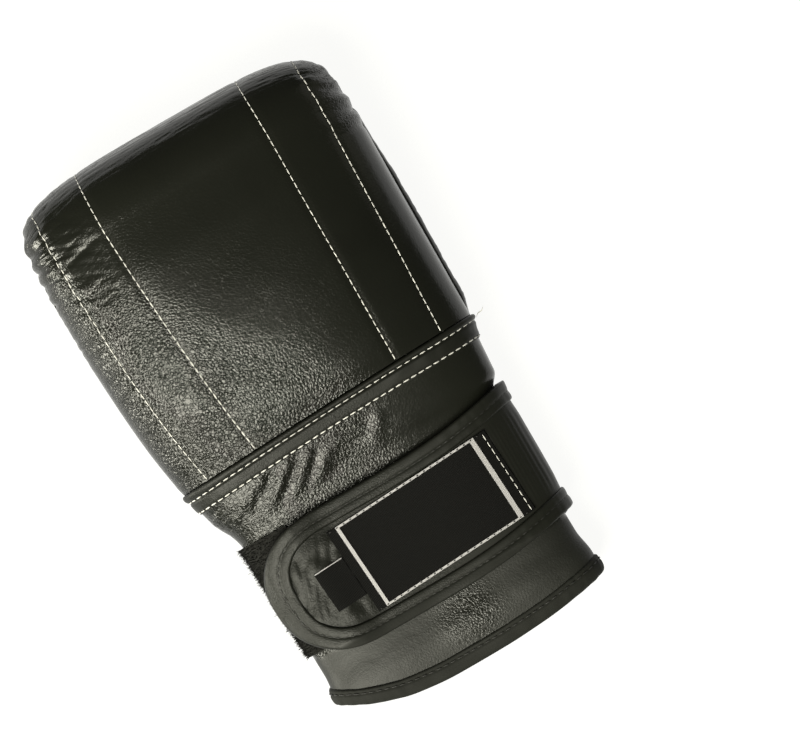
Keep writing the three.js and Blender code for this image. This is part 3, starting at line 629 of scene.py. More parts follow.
def smooth_line(points, count, ring=False):
    """Points at even steps on a smooth curve through some points."""
    many = 24
    line = []
    last = len(points)
    for i in range(last if ring else last - 1):
        p = [points[(i + k) % last] if ring else points[limit(i + k, 0, last - 1)] for k in (-1, 0, 1, 2)]
        for j in range(many):
            t = j / many
            line.append(
                Vector(
                    0.5
                    * (
                        2 * p[1][a]
                        + (p[2][a] - p[0][a]) * t
                        + (2 * p[0][a] - 5 * p[1][a] + 4 * p[2][a] - p[3][a]) * t * t
                        + (3 * p[1][a] - p[0][a] - 3 * p[2][a] + p[3][a]) * t * t * t
                    )
                    for a in range(len(p[0]))
                )
            )
    line.append(Vector(points[0] if ring else points[-1]))
    lengths = [0.0]
    for a, b in zip(line, line[1:]):
        lengths.append(lengths[-1] + (b - a).length)
    even = []
    j = 0
    for i in range(count + 1):
        want = lengths[-1] * i / count
        while j < len(lengths) - 2 and lengths[j + 1] < want:
            j += 1
        span = lengths[j + 1] - lengths[j]
        even.append(line[j].lerp(line[j + 1], (want - lengths[j]) / span if span else 0))
    return even


def stall_surface(edge, ring, lower, inset=0.0):
    """A place on the thumb pocket: ring runs from its middle, 0, out to its edge, 1."""
    middle = Vector((*stall_place(*STALL_MIDDLE), 0))
    out = Vector((edge[0], edge[1], 0)) - middle
    out.length = out.length - STALL_SLOPE * inset
    place = middle + out * ring
    roof = palm_z(place.x, place.y) - STALL_GAP - inset
    if not lower:
        return (place.x, place.y, roof)
    swell = max(1 - ring**2.6, 0) ** (1 / 2.6)
    from_base = STALL_BASE - place.x
    from_end = place.y + STALL_START
    lift = folds_at(STALL_FOLDS, from_base, from_end)
    if inset == 0:
        lift -= creases(STALL_CREASES, from_base, from_end) * ease((1 - ring) * 5)
    floor = max(inset, inset + STALL_REST - lift)
    return (place.x, place.y, mix(roof, min(floor, roof - STALL_THIN), swell))


def strap_reach(x):
    """Angle of the strap's back at some distance from the glove's middle, towards the little finger."""
    return angle_at(-x, -STRAP_PLACE, 1)


STRAP_FROM = angle_at(-STRAP_START, -STRAP_PLACE, -1)
ROUND_FROM = STRAP_END - STRAP_ROUND
PATCH_FROM = strap_reach(PILE_EDGE)
PATCH_TO = 1.22 * math.pi


def strap_middle(angle):
    thumb = max(math.cos(angle), 0)
    palm = max(-math.sin(angle), 0)
    return -STRAP_PLACE + STRAP_TILT * thumb ** (5 if palm > 0 else 1.5) - STRAP_DIP * palm


def strap_half(angle, narrow=0.0):
    gone = -tube_point(-STRAP_PLACE, angle, 0)[0] - ROUND_FROM if angle > math.pi / 2 else 0
    share = limit(gone / (STRAP_ROUND - narrow), 0, 1)
    return (STRAP_WIDTH / 2 - narrow) * max(1 - share**2.6, 0.002) ** (1 / 2.6)


def strap_point(angle, across, lift):
    climb = ease((angle - PATCH_FROM + 0.35) / 0.35)
    seat = 2 * FIT + climb * (PILE_THICK + FIT)
    return tube_point(strap_middle(angle) + across, angle, seat + lift)


def woven_point(middle, down, along, across, lift):
    """A place over the strap's back, for the label and the tag, which are turned a little."""
    angle = angle_at(middle + along - WOVEN_LEAN * across, -STRAP_PLACE, 1)
    y = across + WOVEN_LEAN * along - down
    return strap_point(angle, y - strap_middle(angle), STRAP_THICK + TRIM_SEAT + lift)


# Making pieces
def placed(point):
    return (Vector(point) + SEAM_AT) * MM


def mesh_of(bm, name):
    mesh = bpy.data.meshes.new(name)
    bm.to_mesh(mesh)
    bm.free()
    return mesh


def linked(name, data):
    """A new object in the scene."""
    made = bpy.data.objects.new(name, data)
    bpy.context.scene.collection.objects.link(made)
    return made


def extruded(bm):
    """Extrudes all the faces, and gives the new vertices."""
    made = bmesh.ops.extrude_face_region(bm, geom=bm.faces[:])["geom"]
    return [vert for vert in made if isinstance(vert, bmesh.types.BMVert)]


def grid(columns, rows):
    bm = bmesh.new()
    bmesh.ops.create_grid(bm, x_segments=len(columns) - 1, y_segments=len(rows) - 1, size=1)
    return bm


def lay(bm, columns, rows, surface, near=0.0):
    """Moves a grid's vertices to their places on a surface, and joins those that meet there."""
    for vert in bm.verts:
        i = round((vert.co.x + 1) / 2 * (len(columns) - 1))
        j = round((vert.co.y + 1) / 2 * (len(rows) - 1))
        vert.co = placed(surface(columns[i], rows[j], vert.co.z > 0.5))
    if near:
        bmesh.ops.remove_doubles(bm, verts=bm.verts, dist=near * MM)
    bmesh.ops.recalc_face_normals(bm, faces=bm.faces)
    return bm


def plate(columns, rows, surface, ring=False):
    """Two layers over a grid of columns and rows, closed at the edges, or all round where it is a ring."""
    bm = grid(columns, rows)
    for vert in extruded(bm):
        vert.co.z = 1
    if ring:
        ends = [f for f in bm.faces if len({round(v.co.x, 5) for v in f.verts}) == 1]
        bmesh.ops.delete(bm, geom=ends, context="FACES_ONLY")
    return lay(bm, columns, rows, surface, 0.01 if ring else 0)


def thread(bm, route, radius, sides):
    """Adds a round thread along a route in millimetres, closed to a point at both ends."""
    last = len(route) - 1
    turns = steps(sides, 0, 2 * math.pi)
    places = list(range(last + 1))

    def surface(turn, i, top):
        return thread_point(route, i, turn, radius * min(1, 2 * i / last, 2 * (last - i) / last))

    add(bm, lay(grid(turns, places), turns, places, surface, 0.005))


def thread_point(route, i, turn, radius):
    here = Vector(route[i])
    ahead = Vector(route[min(i + 1, len(route) - 1)]) - Vector(route[max(i - 1, 0)])
    side = ahead.cross(Vector((0, 0, 1))).normalized()
    up = side.cross(ahead).normalized()
    return here + (side * math.cos(turn) + up * math.sin(turn)) * radius


def add(bm, other):
    mesh = mesh_of(other, "part")
    bm.from_mesh(mesh)
    bpy.data.meshes.remove(mesh)


LOT_SIZE = 900


class Heap:
    """Many small shapes in one mesh. They are made in small lots, because an operator slows with its mesh."""

    def __init__(self, bm=None):
        self.whole = bm or bmesh.new()
        self.lot = bmesh.new()

    def next(self):
        if len(self.lot.verts) > LOT_SIZE:
            self.gather()
            self.lot = bmesh.new()
        return self.lot

    def gather(self):
        add(self.whole, self.lot)
        return self.whole


# Below this place the cuff is dull and smooth, but for one patch: its middle and size in millimetres
LOWER_CUFF = -90
PATCH_X = 10
PATCH_Y = -105
PATCH_SIZE = 16


def patch_at(x, y):
    return ease(1.3 - math.hypot(x - PATCH_X, y - PATCH_Y) / PATCH_SIZE)


def slack_at(x, y):
    """How slack the leather is, 0 to 1: it's stretched smooth over the crown of the back."""
    if y < LOWER_CUFF:
        return 0.15 + 0.6 * patch_at(x, y)
    aside = 0.772 * (10 - x) + 0.636 * (5 - y)
    if y < -9:
        aside = min(aside, 16 - x)
    corner = ease((x - 60) / 8) * ease((y - 88) / 10)
    return max(ease((aside + 14) / 26), corner)


def dull_at(x, y):
    """How dull the leather is, 0 to 1."""
    return ease((LOWER_CUFF - y) / 2) * (1 - patch_at(x, y))


def write_attribute(mesh, name, value_at):
    """Writes a value on each vertex, for the material to read."""
    values = mesh.attributes.new(name, "FLOAT", "POINT").data
    for vert, value in zip(mesh.vertices, values):
        x, y, _ = vert.co / MM - SEAM_AT
        value.value = value_at(x, y)


def piece(bm, name, finish, node=None, sharp=50):
    """Makes a bmesh a piece of the glove that rides on its body, in the place of a solid if it has one."""
    mesh = mesh_of(bm, name)
    mesh.shade_smooth()
    mesh.set_sharp_from_angle(angle=math.radians(sharp))
    made = linked(name, mesh)
    made.data.materials.append(finish_named(finish))
    if "leather" in finish:
        write_attribute(mesh, "slack", slack_at)
        write_attribute(mesh, "dull", dull_at)
    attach(made, BODY)
    if node:
        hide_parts(node)
    return made


def cut(made, *cutters):
    """Cuts shapes out of a piece, and removes the shapes."""
    for cutter in cutters:
        other = linked("cutter", mesh_of(cutter, "cutter"))
        modifier = made.modifiers.new("cut", "BOOLEAN")
        modifier.operation = "DIFFERENCE"
        modifier.solver = "EXACT"
        modifier.object = other
        ready = made.evaluated_get(bpy.context.evaluated_depsgraph_get())
        mesh = bpy.data.meshes.new_from_object(ready)
        made.modifiers.clear()
        old = made.data
        made.data = mesh
        mesh.name = old.name
        bpy.data.meshes.remove(old)
        bpy.data.objects.remove(other)


def prism(outline, low, high):
    """An upright prism over an outline in plan."""
    bm = bmesh.new()
    bm.faces.new([bm.verts.new(placed((x, y, low))) for x, y in outline])
    bmesh.ops.translate(bm, verts=extruded(bm), vec=(0, 0, (high - low) * MM))
    bmesh.ops.recalc_face_normals(bm, faces=bm.faces)
    return bm


def circle(x, y, wide, long, count=32):
    turns = [2 * math.pi * i / count for i in range(count)]
    return [(x + wide * math.cos(t), y + long * math.sin(t)) for t in turns]


def stitch_row(heap, line, length, gap, width, height, sink):
    """Sews stitches along a line of (place, outward normal) pairs in millimetres."""
    lengths = [0.0]
    for (a, _), (b, _) in zip(line, line[1:]):
        lengths.append(lengths[-1] + (Vector(b) - Vector(a)).length)

    def at(want):
        low = limit(bisect_right(lengths, want) - 1, 0, len(lengths) - 2)
        span = lengths[low + 1] - lengths[low]
        share = (want - lengths[low]) / span if span else 0
        place, normal = (Vector(a).lerp(Vector(b), share) for a, b in zip(line[low], line[low + 1]))
        return place, normal.normalized()

    count = max(1, int(lengths[-1] / (length + gap)))
    pitch = lengths[-1] / count
    for i in range(count):
        begin, _ = at(i * pitch)
        end, _ = at(i * pitch + pitch - gap)
        place, normal = at(i * pitch + (pitch - gap) / 2)
        along = (end - begin).normalized()
        side = normal.cross(along).normalized()
        along = (along + side * 0.06 * noise.noise(Vector((i * 0.7, width, 4)))).normalized()
        up = along.cross(side)
        if up.dot(normal) < 0:
            up = -up
        turn = Matrix((along, side, up)).transposed().to_4x4()
        size = Matrix.Diagonal(((end - begin).length / 2 * MM, width / 2 * MM, height / 2 * MM, 1))
        where = Matrix.Translation(placed(place + normal * height * (0.5 - sink)))
        shape = where @ turn @ size
        bmesh.ops.create_uvsphere(heap.next(), u_segments=8, v_segments=5, radius=1, matrix=shape)


def surface_line(place, count, inside):
    """(place, outward normal) pairs along a line on a surface, where place(t, side) gives a point."""
    line = []
    for t in steps(count):
        here = Vector(place(t, 0))
        ahead = Vector(place(min(t + 0.002, 1), 0)) - Vector(place(max(t - 0.002, 0), 0))
        across = Vector(place(t, 0.6)) - Vector(place(t, -0.6))
        normal = ahead.cross(across).normalized()
        line.append((here, normal if normal.dot(here - Vector(inside)) > 0 else -normal))
    return line


def sew(heap, place, count, inside, stitch):
    """Sews a row of stitches along a line on a surface, on the side away from a point inside."""
    stitch_row(heap, surface_line(place, count, inside), *stitch)


# Materials
class Nodes:
    """A material's node tree, with short ways to add and join nodes."""

    def __init__(self, name):
        self.material = bpy.data.materials.new(name)
        self.material.use_nodes = True
        self.tree = self.material.node_tree
        self.shader = self.tree.nodes["Principled BSDF"]
        self.place = self.add("ShaderNodeTexCoord").outputs["Object"]

    def add(self, kind, **settings):
        node = self.tree.nodes.new(kind)
        for key, value in settings.items():
            setattr(node, key, value)
        return node

    def join(self, source, target):
        self.tree.links.new(source, target)

    def feed(self, socket, value):
        """Joins a socket to another one, or sets it to a number or a colour."""
        if isinstance(value, bpy.types.NodeSocket):
            self.join(value, socket)
        elif socket.type == "RGBA":
            socket.default_value = (*value[:3], 1)
        else:
            socket.default_value = value

    def mapped(self, scale=(1, 1, 1), turn=0.0):
        node = self.add("ShaderNodeMapping")
        node.inputs["Scale"].default_value = scale
        node.inputs["Rotation"].default_value = (0, 0, math.radians(turn))
        self.join(self.place, node.inputs["Vector"])
        return node.outputs["Vector"]

    def noise(self, scale, detail=2.0, rough=0.5, distortion=0.0, source=None, output="Fac"):
        node = self.add("ShaderNodeTexNoise")
        node.inputs["Scale"].default_value = scale
        node.inputs["Detail"].default_value = detail
        node.inputs["Roughness"].default_value = rough
        node.inputs["Distortion"].default_value = distortion
        self.join(source or self.place, node.inputs["Vector"])
        return node.outputs[output]

    def warped(self, scale, reach):
        """The place, moved a little to and fro."""
        node = self.add("ShaderNodeVectorMath", operation="MULTIPLY_ADD")
        self.join(self.noise(scale, output="Color"), node.inputs[0])
        node.inputs[1].default_value = (reach, reach, reach)
        self.join(self.place, node.inputs[2])
        return node.outputs["Vector"]

    def cells(self, scale, source):
        node = self.add("ShaderNodeTexVoronoi", feature="DISTANCE_TO_EDGE")
        node.inputs["Scale"].default_value = scale
        self.join(source, node.inputs["Vector"])
        return node.outputs["Distance"]

    def wave(self, scale, source, direction, distortion=0.0):
        node = self.add("ShaderNodeTexWave", bands_direction=direction)
        node.inputs["Scale"].default_value = scale
        node.inputs["Distortion"].default_value = distortion
        self.join(source, node.inputs["Vector"])
        return node.outputs["Fac"]

    def threads(self, pitch, direction, distortion=0.0):
        """Bands with a given distance from one to the next."""
        return self.wave(1 / pitch / 20 * 2 * math.pi, self.place, direction, distortion)

    def sums(self, kind, a, b=None, clamp=False):
        node = self.add("ShaderNodeMath", operation=kind, use_clamp=clamp)
        for socket, value in zip(node.inputs, (a, b)):
            if value is not None:
                self.feed(socket, value)
        return node.outputs["Value"]

    def spread(self, value, low, high, to_low=0.0, to_high=1.0):
        node = self.add("ShaderNodeMapRange")
        for key, number in zip(("From Min", "From Max", "To Min", "To Max"), (low, high, to_low, to_high)):
            node.inputs[key].default_value = number
        self.join(value, node.inputs["Value"])
        return node.outputs["Result"]

    def blend(self, share, first, second):
        node = self.add("ShaderNodeMix", data_type="RGBA")
        for socket, value in zip([s for s in node.inputs if s.type == "RGBA"], (first, second)):
            self.feed(socket, value)
        self.join(share, node.inputs["Factor"])
        return next(s for s in node.outputs if s.type == "RGBA")

    def bump(self, height, depth, before=None):
        node = self.add("ShaderNodeBump")
        node.inputs["Distance"].default_value = depth
        self.join(height, node.inputs["Height"])
        if before is not None:
            self.join(before, node.inputs["Normal"])
        return node.outputs["Normal"]

    def attribute(self, name):
        return self.add("ShaderNodeAttribute", attribute_name=name).outputs["Fac"]

    def finish(self, colour, roughness, normal, **constants):
        for key, value in (("Base Color", colour), ("Roughness", roughness), ("Normal", normal)):
            self.feed(self.shader.inputs[key], value)
        for key, value in constants.items():
            self.feed(self.shader.inputs[key.replace("_", " ").title().replace("Ior", "IOR")], value)
        return self.material


def lighter(colour, factor):
    return tuple(min(c * factor, 1) for c in colour[:3])


def leather(name, colour, grain, rough, relief, bold=1.0, shine=0.36):
    """Leather: pebbled grain that comes and goes, thin wandering creases, and a little wear."""
    n = Nodes(name)
    warped = n.warped(420, 0.0016)
    pebbles = n.spread(n.cells(1 / grain, warped), 0.0, 0.3)
    small = n.spread(n.cells(2.1 / grain, warped), 0.0, 0.3)
    slack = n.spread(n.attribute("slack"), 0.0, 1.0, 0.22, 1.0)
    uneven = n.sums("MULTIPLY", n.spread(n.noise(70, 2), 0.3, 0.65, 0.6, 1.0), slack)
    fine = n.noise(2.6 / grain, 3, 0.6)
    long = n.noise(1, 3, 0.5, 0.6, n.mapped((75, 210, 130), 14))
    short = n.noise(1, 2, 0.5, 0.8, n.mapped((230, 150, 190), -31))
    creases = n.spread(n.sums("ABSOLUTE", n.sums("SUBTRACT", long, 0.5)), 0.0, 0.022)
    nicks = n.spread(n.sums("ABSOLUTE", n.sums("SUBTRACT", short, 0.5)), 0.0, 0.03)
    blotch = n.noise(16, 3, 0.6)
    base = n.blend(n.spread(blotch, 0.35, 0.7), lighter(colour, 0.85), lighter(colour, 1.18))
    worn = n.sums("MULTIPLY", pebbles, n.spread(fine, 0.35, 0.75), True)
    shade = n.blend(n.sums("MULTIPLY", worn, 0.3), base, lighter(colour, 1.6))
    spots = n.spread(n.noise(42, 3, 0.6), 0.3, 0.75, rough - 0.02, rough + 0.02)
    normal = n.bump(n.sums("MULTIPLY", pebbles, uneven), 0.00015 * bold)
    normal = n.bump(n.sums("MULTIPLY", small, slack), 0.000012 * bold, normal)
    normal = n.bump(n.sums("MULTIPLY", fine, slack), 0.00002, normal)
    normal = n.bump(n.sums("MULTIPLY", creases, slack), relief, normal)
    normal = n.bump(n.sums("MULTIPLY", nicks, slack), relief * 0.5, normal)
    rougher = n.sums("ADD", spots, n.sums("MULTIPLY", n.attribute("dull"), 0.3))
    return n.finish(shade, rougher, normal, specular_ior_level=shine)


def cloth(name, colour, pitch, rough, depth):
    """A close weave of threads that pass over and under each other."""
    n = Nodes(name)
    weave = n.sums("MULTIPLY", n.threads(pitch, "X"), n.threads(pitch, "Y"))
    fibre = n.noise(3000, 3, 0.7)
    height = n.sums("ADD", weave, n.sums("MULTIPLY", fibre, 0.5))
    shade = n.blend(n.spread(height, 0.1, 1.2), lighter(colour, 0.75), lighter(colour, 1.25))
    roughness = n.spread(fibre, 0.3, 0.7, rough - 0.05, rough + 0.05)
    return n.finish(shade, roughness, n.bump(height, depth), specular_ior_level=0.12)


def yarn(name, colour, rough):
    """Twisted sewing thread."""
    n = Nodes(name)
    ply = n.wave(120, n.mapped(turn=35), "DIAGONAL", 0.6)
    fibre = n.noise(4000, 3, 0.7)
    height = n.sums("ADD", ply, n.sums("MULTIPLY", fibre, 0.4))
    shade = n.blend(n.spread(height, 0.2, 1.2), lighter(colour, 0.8), lighter(colour, 1.06))
    roughness = n.spread(fibre, 0.3, 0.7, rough - 0.06, rough + 0.04)
    return n.finish(shade, roughness, n.bump(height, 0.00008))


def pile(name, colour):
    """Loop pile: dull fibres that differ a little from one another."""
    n = Nodes(name)
    tufts = n.noise(700, 3, 0.7)
    shade = n.blend(n.spread(tufts, 0.3, 0.7), lighter(colour, 0.6), lighter(colour, 1.7))
    roughness = n.spread(tufts, 0.3, 0.7, 0.85, 1.0)
    return n.finish(shade, roughness, n.bump(tufts, 0.0003), specular_ior_level=0.1)


def ribbed(name, colour, rib):
    """Elastic: ribs across the strip."""
    n = Nodes(name)
    ribs = n.threads(rib, "Y", 0.3)
    fibre = n.noise(2500, 3, 0.7)
    height = n.sums("ADD", ribs, n.sums("MULTIPLY", fibre, 0.3))
    shade = n.blend(n.spread(height, 0.1, 1.1), lighter(colour, 0.7), lighter(colour, 1.3))
    roughness = n.spread(fibre, 0.3, 0.7, 0.85, 0.97)
    return n.finish(shade, roughness, n.bump(height, 0.0003))


def backdrop(name, colour):
    n = Nodes(name)
    mottle = n.noise(3, 2, 0.5)
    shade = n.blend(mottle, lighter(colour, 0.985), lighter(colour, 1.01))
    glow = {"emission_color": (1.0, 1.0, 0.98, 1.0), "emission_strength": 0.94}
    return n.finish(shade, 0.9, n.bump(n.noise(900, 2), 0.00005), specular_ior_level=0.1, **glow)


def length_property(name, description, default):
    return bpy.props.FloatProperty(name=name, description=description, default=default, unit="LENGTH")


class BagGloveSizes(bpy.types.PropertyGroup):
    """Sizes that a maker may change without a new set of solids."""

    cell: length_property("Cell", "Size of the mesh cells on the leather", 0.0012)
    stitch: length_property("Stitch", "Length of one white stitch", 0.0029)
    thread: length_property("Thread", "Thickness of the white thread", 0.00062)
    grain: length_property("Grain", "Size of the pebbles in the leather's grain", 0.0014)
    fibre: length_property("Fibre", "Length of the loop pile's fibres", 0.0022)
    fibres: bpy.props.IntProperty(
        name="Fibres", description="Number of fibres on the loop patch", default=5200, min=0
    )


def colour_property(name, description, default):
    return bpy.props.FloatVectorProperty(
        name=name, description=description, default=default, size=3, min=0, max=1, subtype="COLOR"
    )


class BagGloveColours(bpy.types.PropertyGroup):
    """Colours of the glove's materials and of the stage."""

    leather: colour_property("Leather", "Black of the leather", (0.007, 0.0075, 0.0055))
    white_thread: colour_property("White thread", "Off-white of the contrast stitches", (0.64, 0.63, 0.6))
    black_thread: colour_property("Black thread", "Black of the other stitches", (0.009, 0.009, 0.008))
    woven: colour_property("Woven black", "Black of the label and the tag", (0.004, 0.004, 0.0038))
    woven_white: colour_property("Woven white", "Off-white of the label's frame", (0.42, 0.41, 0.42))
    pile: colour_property("Pile", "Black of the loop patch", (0.012, 0.012, 0.011))
    floor: colour_property("Floor", "Pale lit floor", (0.12, 0.12, 0.12))


def sizes():
    return bpy.context.scene.bag_glove_sizes


def colours():
    return bpy.context.scene.bag_glove_colours


FINISHES = {}


def finish_named(name):
    """The material of that name, made the first time that a piece asks for it."""
    if name not in FINISHES:
        c = colours()
        grain = sizes().grain
        makers = {
            "smooth_leather": lambda: leather(name, c.leather, grain, 0.22, 0.00003),
            "gloss_leather": lambda: leather(name, c.leather, grain, 0.24, 0.00005, 0.75, 0.4),
            "strap_leather": lambda: leather(name, c.leather, grain * 0.8, 0.45, 0.00002, 0.4, 0.25),
            "white_thread": lambda: yarn(name, c.white_thread, 0.75),
            "black_thread": lambda: yarn(name, c.black_thread, 0.6),
            "woven_label": lambda: cloth(name, c.woven, 0.0006, 0.85, 0.00012),
            "woven_frame": lambda: cloth(name, c.woven_white, 0.0006, 0.8, 0.00012),
            "loop_pile": lambda: pile(name, c.pile),
            "elastic": lambda: ribbed(name, lighter(c.pile, 1.6), 0.0014),
            "floor": lambda: backdrop(name, c.floor),
        }
        FINISHES[name] = makers[name]()
    return FINISHES[name]


def cell_mm():
    return sizes().cell / MM * 1


def pad_columns(cell):
    """Columns at even steps over the back, and close together where the sides turn down."""
    flat = steps(round(2 * 0.93 * PAD_HALF / cell), -0.93, 0.93)
    turns = [(1 - u**BACK_SQUARE) ** (1 / BACK_SQUARE) for u in steps(round(18 / cell), 0.53, 0)][1:]
    return [-t for t in reversed(turns)] + flat + turns


def pad_rows(cell):
    """Rows at even steps, and closer together where the leather is gathered."""
    back = steps(round(0.76 * ROLL_START / cell), 0, 0.76)
    gathered = steps(round(0.24 * ROLL_START / (0.6 * cell)), 0.76, 1)[1:]
    roll = steps(round(60 / (0.6 * cell)), 1, 1.42)[1:]
    return back + gathered + roll + steps(round(85 / cell), 1.42, 2)[1:]


class MakePad(bpy.types.Operator):
    """Makes the padded back with its roll over the fingertips and its lobe over the palm."""

    bl_idname = "bag_glove.make_pad"
    bl_label = "Padded back"

    def execute(self, context):
        cell = cell_mm()
        bm = plate(pad_columns(cell), pad_rows(cell), lambda column, row, top: pad_point(column, row, top))
        made = piece(bm, "padded_back", "smooth_leather", "back_pad", 70)
        return {"FINISHED"}


def palm_crumple(x, y):
    """Relief of the thin glossy palm leather."""
    return 0.5 * noise.noise(Vector((x / 16, y / 20, 31))) - creases(PALM_CREASES, x, y)


class MakePalm(bpy.types.Operator):
    """Makes the palm leather with its side walls, air holes and wrist slit, and the elastic behind it."""

    bl_idname = "bag_glove.make_palm"
    bl_label = "Palm leather"

    def execute(self, context):
        cell = cell_mm() * 1.1
        angles = steps(round(PALM_GIRTH / cell), -math.pi, 0)
        places = steps(round(PALM_RUN / cell))

        def surface(angle, place, top):
            start = wrist_y(angle) + BINDING_WIDTH - FIT
            y = mix(start, PALM_END, place)
            plain = tube_point(y, angle, 0)
            hidden = ease((UNDER_STRAP_FROM - y) / 3) * ease((y - UNDER_STRAP_TO) / 3)
            edge = ease(-math.sin(angle) * 4) * ease(place * 20)
            lift = palm_crumple(plain[0], y) * (1 - hidden) * edge
            lift -= PALM_TUCK * ease((y - PALM_END + PALM_TUCKED) / 8)
            point = list(tube_point(y, angle, lift if top else lift - LEATHER))
            point[2] = min(point[2], TUBE.at(y, "side") - FIT)
            return point

        made = piece(plate(angles, places, surface), "palm_leather", "gloss_leather", "palm_panel", 60)
        slit = [(r["across"] * CUFF_HALF, -r["down"] * CUFF_LENGTH) for r in SLIT_OUTLINE]
        hole_x, hole_y = stall_place(*THUMB_HOLE_PLACE)
        cut(
            made,
            prism(slit, -PAD_HEIGHT, 0.42 * CUFF_HEIGHT),
            prism(circle(hole_x, hole_y, THUMB_HOLE, THUMB_HOLE_LENGTH), -PAD_HEIGHT, PAD_HEIGHT),
            *[prism(circle(x, y, EYELET / 2, EYELET / 2, 20), -PAD_HEIGHT, PAD_HEIGHT) for x, y in EYELETS],
        )

        first = angle_at(-GUSSET_WIDTH / 2 - GUSSET_PLACE, -STRAP_PLACE, -1)
        last = angle_at(GUSSET_WIDTH / 2 - GUSSET_PLACE, -STRAP_PLACE, -1)
        strip = plate(
            steps(40, first, last),
            steps(160, -0.87 * CUFF_LENGTH, -0.05 * CUFF_LENGTH),
            lambda angle, y, top: tube_point(y, angle, (0 if top else -GUSSET_THICK) - LEATHER - FIT),
        )
        elastic = piece(strip, "elastic_strip", "elastic", "slit_gusset")
        return {"FINISHED"}


class MakeThumb(bpy.types.Operator):
    """Makes the thumb pocket across the palm and the welt round its base."""

    bl_idname = "bag_glove.make_thumb"
    bl_label = "Thumb pocket"

    def execute(self, context):
        corners = [Vector(stall_place(r["across"], r["along"])) for r in STALL_OUTLINE]
        outline = smooth_line(corners, 220, True)
        rings = [1 - (1 - t) ** 1.7 for t in steps(60)]

        def surface(i, ring, top):
            return stall_surface(outline[i], ring, True, 0 if top else LEATHER)

        bm = plate(list(range(len(outline))), rings, surface, ring=True)
        made = piece(bm, "thumb_pocket", "gloss_leather", "thumb_stall", 60)

        places = [stall_place(r["across"], r["along"]) for r in WELT_ROUTE]
        route = [(x, y, palm_z(x, y) - FIT - WELT_RADIUS) for x, y in places]
        welt = bmesh.new()
        thread(welt, smooth_line([Vector(p) for p in route], 120), WELT_RADIUS, 14)
        piece(welt, "thumb_welt", "gloss_leather", "thumb_piping")
        return {"FINISHED"}


def cuff_lift(x, y):
    """Relief of the cuff's back."""
    below_band = ease((seam_y(x) - BAND_WIDTH - y) / 4)
    above_strap = ease((y + STRAP_PLACE - STRAP_TILT - STRAP_WIDTH / 2) / 4)
    slack = ease((30 - x) / 25)
    lift = below_band * above_strap * (folds_at(CUFF_FOLDS, x, y) - slack * creases(CUFF_CREASES, x, y))
    low = ease((-STRAP_PLACE - STRAP_WIDTH / 2 - y) / 3) * ease((y + CUFF_LENGTH - BINDING_WIDTH - 2) / 3)
    lift += low * 0.5 * noise.noise(Vector((x / 26, y / 18, 45)))
    lift -= low * creases(LOWER_CREASES, x, y)
    return lift


class MakeCuff(bpy.types.Operator):
    """Makes the back of the cuff, the band over the seam and the rolled edge round the wrist."""

    bl_idname = "bag_glove.make_cuff"
    bl_label = "Cuff"

    def execute(self, context):
        cell = cell_mm()
        side = 0.0005

        def back(angle, share, top):
            start = wrist_y(angle) + BINDING_WIDTH - FIT
            y = mix(start, seam_y(tube_point(0, angle, 0)[0]) - FIT, share)
            place = tube_point(y, angle, 0)
            lift = cuff_lift(place[0], y) * ease(math.sin(angle) * 5)
            point = list(tube_point(y, angle, lift if top else lift - LEATHER))
            point[2] = max(point[2], TUBE.at(y, "side") + FIT / 2)
            return point

        columns = steps(round(CUFF_GIRTH / cell), side, math.pi - side)
        bm = plate(columns, steps(round(CUFF_RUN / cell)), back)
        made = piece(bm, "cuff_leather", "gloss_leather", "cuff_back", 60)

        def band(angle, share, top):
            x = tube_point(0, angle, 0)[0]
            wide = BAND_LINES.at(x, "lower") + 0.8
            down = share * wide
            lift = band_height(x, down) + 0.15 * noise.noise(Vector((angle * 9, down / 5, 51)))
            return tube_point(seam_y(x) - FIT - down, angle, TRIM_SEAT + (lift if top else 0))

        bm = plate(steps(220, 0.01, math.pi - 0.01), steps(36), band)
        piece(bm, "seam_cover", "strap_leather", "seam_band", 70)

        first, last = roll_ends()

        def roll(angle, share, top):
            y = wrist_y(angle) + BINDING_WIDTH * share + roll_waver(angle)
            thick = LEATHER / 2 + BINDING_SWELL
            swell = thick * max(1 - abs(2 * share - 1) ** 3, 0.02) ** (1 / 3)
            if top:
                swell -= 0.5 * math.exp(-(((share - BINDING_ROW) * BINDING_WIDTH / 0.8) ** 2))
                swell += 0.25 * noise.noise(Vector((angle * 12, share, 55)))
            return tube_point(y, angle, -LEATHER / 2 + (swell if top else -swell))

        bm = plate(steps(360, first, last), steps(20), roll)
        piece(bm, "wrist_roll", "strap_leather", "cuff_binding", 70)
        return {"FINISHED"}


def band_height(x, down):
    """Height of the seam band: a rolled edge along the pad, then flat leather between two sewn grooves."""
    upper = BAND_LINES.at(x, "upper")
    lower = BAND_LINES.at(x, "lower")
    roll = BAND_LEATHER * math.sqrt(max(1 - (2 * down / upper - 1) ** 2, 0))
    flat = 0.55 * BAND_LEATHER * ease((down - upper) / 1.6) * ease((lower + 0.8 - down) / 0.8)
    groove = 0.3 * math.exp(-(((down - lower) / 0.7) ** 2))
    return max(roll, flat - groove, 0.1)


def roll_waver(angle):
    """How far the rolled wrist edge strays from its line."""
    return 0.3 * noise.noise(Vector((angle * 5, 3, 53)))


def roll_ends():
    """Angles at which the rolled wrist edge starts and ends, beside the slit."""
    gap = [r["across"] * CUFF_HALF for r in SLIT_OUTLINE if r["down"] > 1]
    wrist_end = -CUFF_LENGTH + BINDING_WIDTH
    return angle_at(max(gap), wrist_end, -1), 2 * math.pi + angle_at(min(gap), wrist_end, -1)


